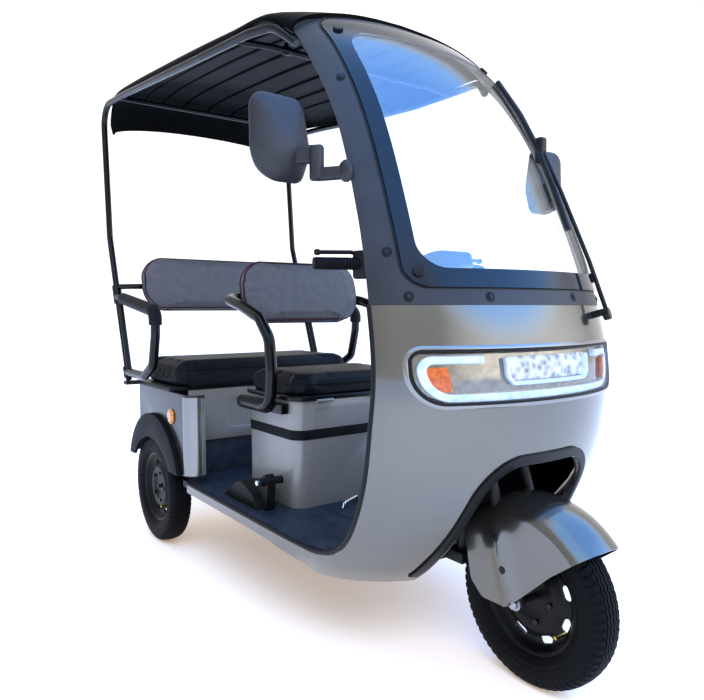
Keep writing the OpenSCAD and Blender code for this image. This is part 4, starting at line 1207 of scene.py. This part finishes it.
def wheel(name, node, body, hub, side):
    disc = wheel_disc(name, hub, side)
    parts = [disc, drum("hub", hub + Vector((0, side * 0.004, 0)), 0.034, 0.062, "Y", 56, 0.004)]
    parts.append(drum("brake_drum", hub - Vector((0, side * 0.013, 0)), 0.078, 0.03, "Y", 64, 0.004))
    cut_bore = drum("bore", hub, 0.0084, 0.2, "Y", 40)
    rim_piece = join(name, parts)
    cut(rim_piece, cut_bore)
    shade(rim_piece, 35)
    settle(rim_piece, body, rim_enamel, (node,))
    nuts = []
    for k in range(5):
        a = 2 * math.pi * k / 5
        place = hub + Vector((math.cos(a) * 0.055, side * 0.0165, math.sin(a) * 0.055))
        nuts.append(drum("nut", place, 0.0075, 0.012, "Y", 6, 0.0012))
    settle(join(name + "_nuts", nuts), body, dark_steel)
    stem = drum("stem", hub + Vector((0.088, side * 0.020, -0.056)), 0.0035, 0.034, "Y", 20, 0.0008)
    stem_cap = drum("stem_cap", hub + Vector((0.088, side * 0.036, -0.056)), 0.0046, 0.012, "Y", 20, 0.001)
    settle(join(name + "_valve", [stem, stem_cap]), body, brass)


wheel("front_wheel_disc", "front_rim", "front_wheel", axle, -1)
wheel("rear_wheel_disc_right", "rear_rim_right", "rear_wheel_right", REAR_HUBS[-1], -1)
wheel("rear_wheel_disc_left", "rear_rim_left", "rear_wheel_left", REAR_HUBS[1], 1)

# %% [markdown]
# A seat is foam in a sewn cover: its faces swell, its corners pull in, and it lies flat on its base.
# Each pad starts as a plate a little smaller than its solid, gets round edges, and is filled like a
# cushion by a short cloth simulation with pressure inside. How far a point may move is capped.


# %% Helpers for padded pieces
PAD_GRID, PAD_PRESSURE, PAD_FRAMES = 0.0055, 4, 20


def fill_pad(piece, cap_mm, held):
    """Swells a pad by pressure. The points for which held(point) is true stay where they are."""
    apply_modifier(piece, "REMESH", mode="VOXEL", voxel_size=PAD_GRID)
    apply_modifier(piece, "SMOOTH", factor=0.5, iterations=4)
    start = [vertex.co.copy() for vertex in piece.data.vertices]
    group = piece.vertex_groups.new(name="held")
    group.add([v.index for v in piece.data.vertices if held(v.co)], 1.0, "REPLACE")
    pick(piece)
    cloth = piece.modifiers.new("cover", "CLOTH")
    cloth.settings.vertex_group_mass = group.name
    cloth.settings.use_pressure = True
    cloth.settings.uniform_pressure_force = PAD_PRESSURE
    cloth.settings.effector_weights.gravity = 0
    cloth.point_cache.frame_start = 1
    cloth.point_cache.frame_end = PAD_FRAMES
    for frame_number in range(1, PAD_FRAMES + 1):
        bpy.context.scene.frame_set(frame_number)
    bpy.ops.object.modifier_apply(modifier=cloth.name)
    bpy.context.scene.frame_set(1)
    for vertex, before in zip(piece.data.vertices, start):
        move = vertex.co - before
        if move.length > cap_mm * MM:
            vertex.co = before + move * (cap_mm * MM / move.length)
    piece.vertex_groups.clear()
    apply_modifier(piece, "SMOOTH", factor=0.4, iterations=3)
    apply_modifier(piece, "SUBSURF", levels=1, render_levels=1)
    shade(piece, 70)
    return piece


def welt(name, pad, points, radius):
    """A sewn edge that lies on a pad along a closed line."""
    line = [pad.closest_point_on_mesh(point)[1] for point in points]
    return tube(name, line, radius, bend=0, closed=True)


def flat_pad(name, centre, length, width, corner, low, high, shrink):
    """A pad that lies flat, from a height low to a height high."""
    a, b = length / 2 - shrink, width / 2 - shrink
    outline = round_box(a, b, corner)
    rise = (high - low - shrink * 0.6) * MM
    pad = plate(name, [at(centre + p[0], p[1], low) for p in outline], (0, 0, rise))
    ease_edges(pad, 0.022, 5)
    return pad, outline


# %% Driver's cushion
SEAT_X = -864
seat_pad, seat_outline = flat_pad("driver_cushion_pad", SEAT_X, 354, 486, 56, 626, 686, 7)
fill_pad(seat_pad, 11, lambda p: p.z < 0.629)
settle(seat_pad, "seat_lid", seat_vinyl_painted_sky_tint, ("driver_cushion",))
seat_seam = welt("driver_cushion_seam", seat_pad,
                 [at(SEAT_X + p[0] * 1.03, p[1] * 1.03, 664) for p in seat_outline], 0.0022)
settle(seat_seam, "seat_lid", seat_vinyl_painted_sky_tint)
base_outline = [at(SEAT_X + a, b, 612.2) for a, b in round_box(173, 248, 46)]
seat_base = plate("driver_cushion_base", base_outline, (0, 0, 0.0155))
ease_edges(seat_base, 0.004)
shade(seat_base, 40)
settle(seat_base, "seat_lid", lamp_plastic)

# %% Rear bench cushion
bench_pad, bench_outline = flat_pad("bench_cushion_pad", -1473, 374, 756, 44, 611, 698, 5)
fill_pad(bench_pad, 11, lambda p: p.z < 0.615)
deck_edge = at(-1312, 0, 0).x
for vertex in bench_pad.data.vertices:
    over = max(0.0, min(1.0, (vertex.co.x - deck_edge) / 0.014))
    low = max(0.0, min(1.0, (0.690 - vertex.co.z) / 0.07))
    vertex.co.z -= 0.013 * over * low
    vertex.co.x += 0.006 * over * low
settle(bench_pad, "chassis", seat_vinyl_painted_sky_tint, ("bench_cushion",))
bench_seam = welt("bench_cushion_seam", bench_pad,
                  [at(-1475 + p[0] * 1.03, p[1] * 1.02, 674) for p in bench_outline], 0.0022)
settle(bench_seam, "chassis", seat_vinyl_painted_sky_tint)


# %% Backrests with piping
def backrest(name, node, origin, tilt, width, height, corner, thick):
    """A pad that leans back, its rear face flat on a bar, with piping around its edge."""
    lean = math.radians(tilt)
    up = Vector((-math.sin(lean), 0, math.cos(lean)))
    fore = Vector((math.cos(lean), 0, math.sin(lean)))

    def spot(a, b, c):
        return origin + Vector((0, a * MM, 0)) + up * (b * MM) + fore * (c * MM)

    shape = round_box(width / 2 - 5, height / 2 - 5, corner - 4, 12)
    pad = plate(name, [spot(p[0], p[1], 0.6) for p in shape], fore * ((thick - 8) * MM))
    ease_edges(pad, 0.013, 4)
    fill_pad(pad, 9, lambda p: (p - origin).dot(fore) < 0.006)
    settle(pad, "chassis", back_vinyl_painted_sky_sheen, (node,))
    ring = [(p[0] * 1.05, p[1] * 1.05) for p in shape]
    pipes = [
        welt("pipe_front", pad, [spot(a, b, thick - 16) for a, b in ring], 0.0034),
        welt("pipe_rear", pad, [spot(a, b, 14) for a, b in ring], 0.0034),
    ]
    settle(join(name + "_piping", pipes), "chassis", piping_vinyl)


backrest("driver_backrest_pad", "driver_backrest", at(-1083.4, 0, 948), 8, 480, 226, 92, 56)
backrest("bench_backrest_pad", "bench_backrest", at(-1691.8, 0, 992), 10, 748, 232, 94, 60)

# %% [markdown]
# The seats' armrests are bent from gloss black tube. The driver's is one loop that stands on the
# seat box and passes behind the backrest, with a rubber sleeve at each foot. The bench's loops are
# clamped to the rear posts and carry soft grips.

# %% Armrests
half_loop = [(-960, -276, 588), (-793, -276, 588), (-782, -276, 700), (-794, -276, 800), (-858, -276, 864),
             (-980, -276, 902), (-1106, -276, 930)]
loop = [at(*p) for p in half_loop] + [at(x, -y, z) for x, y, z in reversed(half_loop)]
driver_loop = tube("driver_loop", loop, 0.018, bend=0.055)
brackets = [block("bracket", at(-840, side * 254, 588), (0.2, 0.027, 0.032), 0.004) for side in (-1, 1)]
driver_tubes = join("driver_armrest_loop", [driver_loop] + brackets)
settle(driver_tubes, "chassis", tube_enamel, ("driver_frame",))
sleeves = [block("sleeve", at(-905, side * 272, 589), (0.20, 0.042, 0.042), 0.019) for side in (-1, 1)]
settle(join("armrest_sleeves", sleeves), "chassis", grip_rubber)

ARM_LOW, ARM_TOP = 644, 945
arm_fore = at(-1330, 440, 885)
arm_line = [on_post(ARM_LOW), at(-1455, 440, ARM_LOW), at(-1366, 440, 690), at(-1335, 440, 800),
            arm_fore, on_post(ARM_TOP)]
upright = Vector((0.024, 0, 0))
left_arm = [
    tube("arm", arm_line, 0.017, bend=0.038),
    tube("upright", [on_post(ARM_LOW) + upright, on_post(ARM_TOP) + upright], 0.01, bend=0),
    tube("low_collar", [on_post(ARM_LOW - 20), on_post(ARM_LOW + 20)], 0.018, bend=0),
    tube("top_collar", [on_post(ARM_TOP - 26), on_post(988)], 0.018, bend=0),
]
left_arm = join("left_arm", left_arm)
right_arm = mirrored(left_arm, "right_arm")
back_end = on_post(985)
other_end = Vector((back_end.x, -back_end.y, back_end.z))
back_line = [back_end, at(-1702, 390, 985), at(-1702, -390, 985), other_end]
back_bar = tube("back_bar", back_line, 0.011, bend=0.03)
bench_tubes = join("bench_armrest_tubes", [left_arm, right_arm, back_bar])
settle(bench_tubes, "chassis", tube_enamel, ("bench_frame",))

pads = []
arm_way = on_post(ARM_TOP) - arm_fore
for side in (-1, 1):
    line = [at(-1334, 440, 836), arm_fore, arm_fore + arm_way * 0.5, arm_fore + arm_way * 0.84]
    pad = tube("pad", [Vector((p.x, side * p.y, p.z)) for p in line], 0.0235, bend=0.038)
    ease_edges(pad, 0.009, 4)
    shade(pad, 50)
    pads.append(pad)
settle(join("armrest_grips", pads), "chassis", grip_rubber, ("armrest_pads",))

# %% [markdown]
# The mudguard turns with the fork. It is an arched strip with deep skirts, and a soft column swells
# out of each skirt where it is bolted to the fork leg. The sheet is shaped on a fine grid, swollen
# along the leg, given a wall and then cut to its side view.

# %% Front mudguard
FENDER_HALF, FENDER_R, FENDER_RISE, FENDER_SKIRT = 80, 246, 44, 196
COLUMN_OUT, COLUMN_WIDTH = 7.5, 27
FENDER_SIDE = [(206, 176, 4), (262, 330, 4), (-262, 330, 4), (-152, 132, 30), (-130, 20, 30), (-92, -14, 26),
               (-14, -12, 22), (104, 98, 40)]


def fender_point(u, v):
    turn = math.radians(-30 + 240 * v)
    s = 2 * u - 1
    if abs(s) < 0.5:
        swing = math.pi * s
        radius = FENDER_R - FENDER_RISE + FENDER_RISE * math.cos(swing)
        y = FENDER_HALF * math.sin(swing)
    else:
        radius = FENDER_R - FENDER_RISE - (abs(s) - 0.5) * 2 * FENDER_SKIRT
        y = math.copysign(FENDER_HALF, s)
    x, z = radius * math.cos(turn), radius * math.sin(turn)
    off_leg = (x + 0.325 * z) * 0.951
    reach = max(0.0, min(1.0, (205 - z) / 60))
    swell = COLUMN_OUT * reach * math.exp(-((off_leg / COLUMN_WIDTH) ** 2))
    y += math.copysign(swell, s) * min(1.0, max(0.0, abs(s) - 0.3) * 5)
    return axle + Vector((x, -y, z)) * MM


fender = shaped_grid("front_mudguard", 120, 120, fender_point)
apply_modifier(fender, "SOLIDIFY", thickness=0.004, offset=-1)
side_view = round_corners(FENDER_SIDE, 8)
side_tool = plate("tool", [axle + Vector((p[0] * MM, -0.2, p[1] * MM)) for p in side_view], (0, 0.4, 0))
cut(fender, side_tool, "INTERSECT")
for side in (-1, 1):
    start = axle + Vector((0, side * 0.061, 0)) + head_way * 0.06
    cut(fender, tube("leg_hole", [start, start + head_way * 0.4], 0.0146, bend=0))
shade(fender, 35)
settle(fender, "steering", silver_paint, ("front_fender",))
fender_bolts = []
for x, z in ((-47, 352), (-24.5, 283)):
    for side in (-1, 1):
        fender_bolts.append(stud("bolt", at(x, side * 86.0, z), Vector((0, side, 0)), 0.0095, 0.006))
settle(join("mudguard_bolts", fender_bolts), "steering", lamp_plastic)

# %% [markdown]
# The driver's seat box is bent from one sheet of silver steel with round vertical corners. A dark
# band runs around it, and a chrome ring lifts the floor board in front of it. These solids already
# have the right shape, so a copy with eased edges and the right finish is enough.

# %% Seat box
refined("seat_box", box_paint, "seat_box_sheet", 0.0025)
refined("seat_box_band", flare_plastic, "seat_box_strip", 0.001)
refined("battery", lamp_plastic, "battery_case", 0.006)
ring_line = [at(-627, -120, 287), at(-632, -112, 303), at(-670, -38, 303), at(-675, -30, 287)]
lift_ring = tube("lift_ring", ring_line, 0.0048, bend=0.01)
settle(lift_ring, "chassis", chrome)

# %% [markdown]
# The rear body has two painted sides, dark arches over the wheels, a silver panel with an embossed field
# under the bench, and round amber reflectors. Each front pillar carries a bright silver skin with fine
# ridges, whose brightness is a painted highlight of the light that the rounded corner catches.

# %% Rear body
refined("rear_sides", side_paint, "rear_side_panels", 0.003)
refined("arch_flares", flare_plastic, "wheel_arch_flares", 0.005)
refined("rear_box_front", box_paint, "bench_front_panel", 0.0025)
refined("rear_panel", silver_paint, "rear_body_panel", 0.002)
refined("toe_panel", floor_rubber_painted_sky_tint, "toe_board", 0.002)
refined("bench_deck", frame_enamel, "bench_deck_plate", 0.002)
refined("tail_lamps", red_lamp, "tail_lamp_lenses", 0.004)


PILLAR_X, PILLAR_Y, PILLAR_R = -1194, 354, 44.9
WELL_R = 0.2305


def pillar_point(u, v, side):
    """A point of the bright skin around a front corner, a painted highlight: an arc and a flat front."""
    turn = math.radians(90 * min(1.0, u / 0.75))
    y = PILLAR_Y + PILLAR_R * math.cos(turn) - 18 * max(0.0, (u - 0.75) / 0.25)
    return at(PILLAR_X + PILLAR_R * math.sin(turn), side * y, 316 + 272 * v)


# The bright skin on each front pillar is a painted highlight, brighter than the dark grey sides.
highlight_skins = []
for side in (-1, 1):
    highlight_skins.append(thin_sheet("cover", 40, 2, lambda u, v: pillar_point(u, v, side), 0.0012))
    for y in (338, 343, 348):
        highlight_skins.append(tube("ridge", [at(-1148.6, side * y, 320), at(-1148.6, side * y, 584)], 0.0011, bend=0))
settle(join("pillar_highlight_skins", highlight_skins), "chassis", trim_and_painted_highlight_paint)


def well_point(u, v, side):
    turn = math.radians(29 + 122 * u)
    return Vector((rear_axle.x + WELL_R * math.cos(turn), side * (0.318 + 0.076 * v),
                   rear_axle.z + WELL_R * math.sin(turn)))


liners = [thin_sheet("liner", 48, 4, lambda u, v: well_point(u, v, side), 0.0015) for side in (-1, 1)]
settle(join("wheel_well_liners", liners), "chassis", floor_rubber_painted_sky_tint)
dishes, rims = [], []
for side in (-1, 1):
    spot = at(-1302, side * 398.4, 508)
    rims.append(stud("dish_rim", spot, Vector((0, side, 0)), 0.028, 0.006, 0.002))
    spot += Vector((0, side * 0.003, 0))
    dishes.append(stud("dish", spot, Vector((0, side, 0)), 0.0235, 0.0062, 0.003))
settle(join("reflector_lenses", dishes), "chassis", side_amber, ("side_markers",))
settle(join("reflector_rims", rims), "chassis", side_amber)

# %% [markdown]
# The floor is a ribbed rubber mat. The inner shield and the dash close the front towards the driver.

# %% Floor and inner panels
refined("floor_pan", floor_rubber_painted_sky_tint, "floor_mat", 0.0015)
refined("leg_shield", roof_plastic, "inner_leg_shield", 0.0, 40)
refined("dash", roof_plastic, "dash_shelf", 0.002)
refined("brake_pedal", seal_rubber, "brake_pedal_bracket", 0.006)
pedal_pin = drum("pedal_pin", at(-752, -341, 373), 0.0085, 0.014, "Y", 28, 0.002)
settle(pedal_pin, "chassis", chrome)

# %% [markdown]
# The running gear is plain black steel: a ladder frame, a live rear axle on leaf springs with its
# motor, and a telescopic fork. The solids carry the shapes, and the copies get eased edges.

# %% Running gear
for node in ("ladder_frame", "rear_frame", "steering_head"):
    refined(node, frame_enamel, node + "_steel", 0.002)
refined("rear_axle", frame_enamel, "rear_axle_casing", 0.003)
refined("drive_motor", frame_plastic, "motor_casing", 0.004)
refined("leaf_springs", frame_enamel, "leaf_spring_pack", 0.0015)
refined("fork", frame_enamel, "telescopic_fork", 0.0015, body="steering")
nuts = []
for side in (-1, 1):
    nuts.append(drum("axle_nut", axle + Vector((0, side * 0.079, 0)), 0.0125, 0.012, "Y", 6, 0.0015))
    nuts.append(drum("axle_washer", axle + Vector((0, side * 0.074, 0)), 0.0165, 0.003, "Y", 32, 0.0006))
settle(join("front_axle_nuts", nuts), "steering", steel)

# %% [markdown]
# The handlebar is a swept tube with ribbed grips, switch housings and levers, and a small instrument
# pod over the stem. Two cables leave the levers in a wide arc and run down to the stem.

# %% Handlebar
BAR_X, BAR_Z, BAR_HALF = -420, 1010, 310
half_bar = [(-480, 310, BAR_Z), (BAR_X, 150, BAR_Z), (-320, 90, BAR_Z - 36)]
bar_line = [at(x, -y, z) for x, y, z in half_bar] + [at(*p) for p in reversed(half_bar)]
handle = tube("handle", bar_line, 0.011, bend=0.04)
stem_top = at(-45, 0, 207.5) + head_way * 0.7803
riser = tube("riser", [stem_top, stem_top + head_way * 0.048], 0.03, bend=0)
fittings = [handle, riser]
for side in (-1, 1):
    switch = tube("switch", [at(BAR_X + 6, side * 134, BAR_Z), at(BAR_X - 10, side * 176, BAR_Z)],
                  0.019, bend=0)
    perch = block("perch", at(-438, side * 186, BAR_Z - 2), (0.046, 0.036, 0.076), 0.008, side * -0.36)
    lever = tube("lever", [at(-444, side * 182, BAR_Z + 26), at(-452, side * 214, BAR_Z + 31),
                           at(-478, side * 300, BAR_Z + 29)], 0.0056, bend=0.03)
    knob = drum("knob", at(-479, side * 303, BAR_Z + 29), 0.009, 0.016, "Z", 32, 0.0055)
    cable = tube("cable", [at(BAR_X + 30, side * 160, BAR_Z - 6), at(-338, side * 126, BAR_Z + 34),
                           at(-300, side * 60, BAR_Z + 10), at(-296, side * 22, BAR_Z - 60)],
                 0.003, bend=0.05)
    fittings += [switch, perch, lever, knob, cable]
settle(join("handlebar_set", fittings), "steering", lamp_plastic, ("handlebar",))


def grip_spot(side, y):
    return at(BAR_X - 60 * (y - 150) / (BAR_HALF - 150), side * y, BAR_Z)


sleeves = []
for side in (-1, 1):
    sleeves.append(tube("sleeve", [grip_spot(side, 190), grip_spot(side, 314)], 0.0155, bend=0))
    for k in range(15):
        y = 196 + 7.6 * k
        sleeves.append(tube("rib", [grip_spot(side, y), grip_spot(side, y + 4)], 0.017, bend=0))
settle(join("handlebar_grips", sleeves), "steering", grip_rubber, ("grips",))
refined("instrument_pod", lamp_plastic, "instrument_case", 0.008, body="steering")
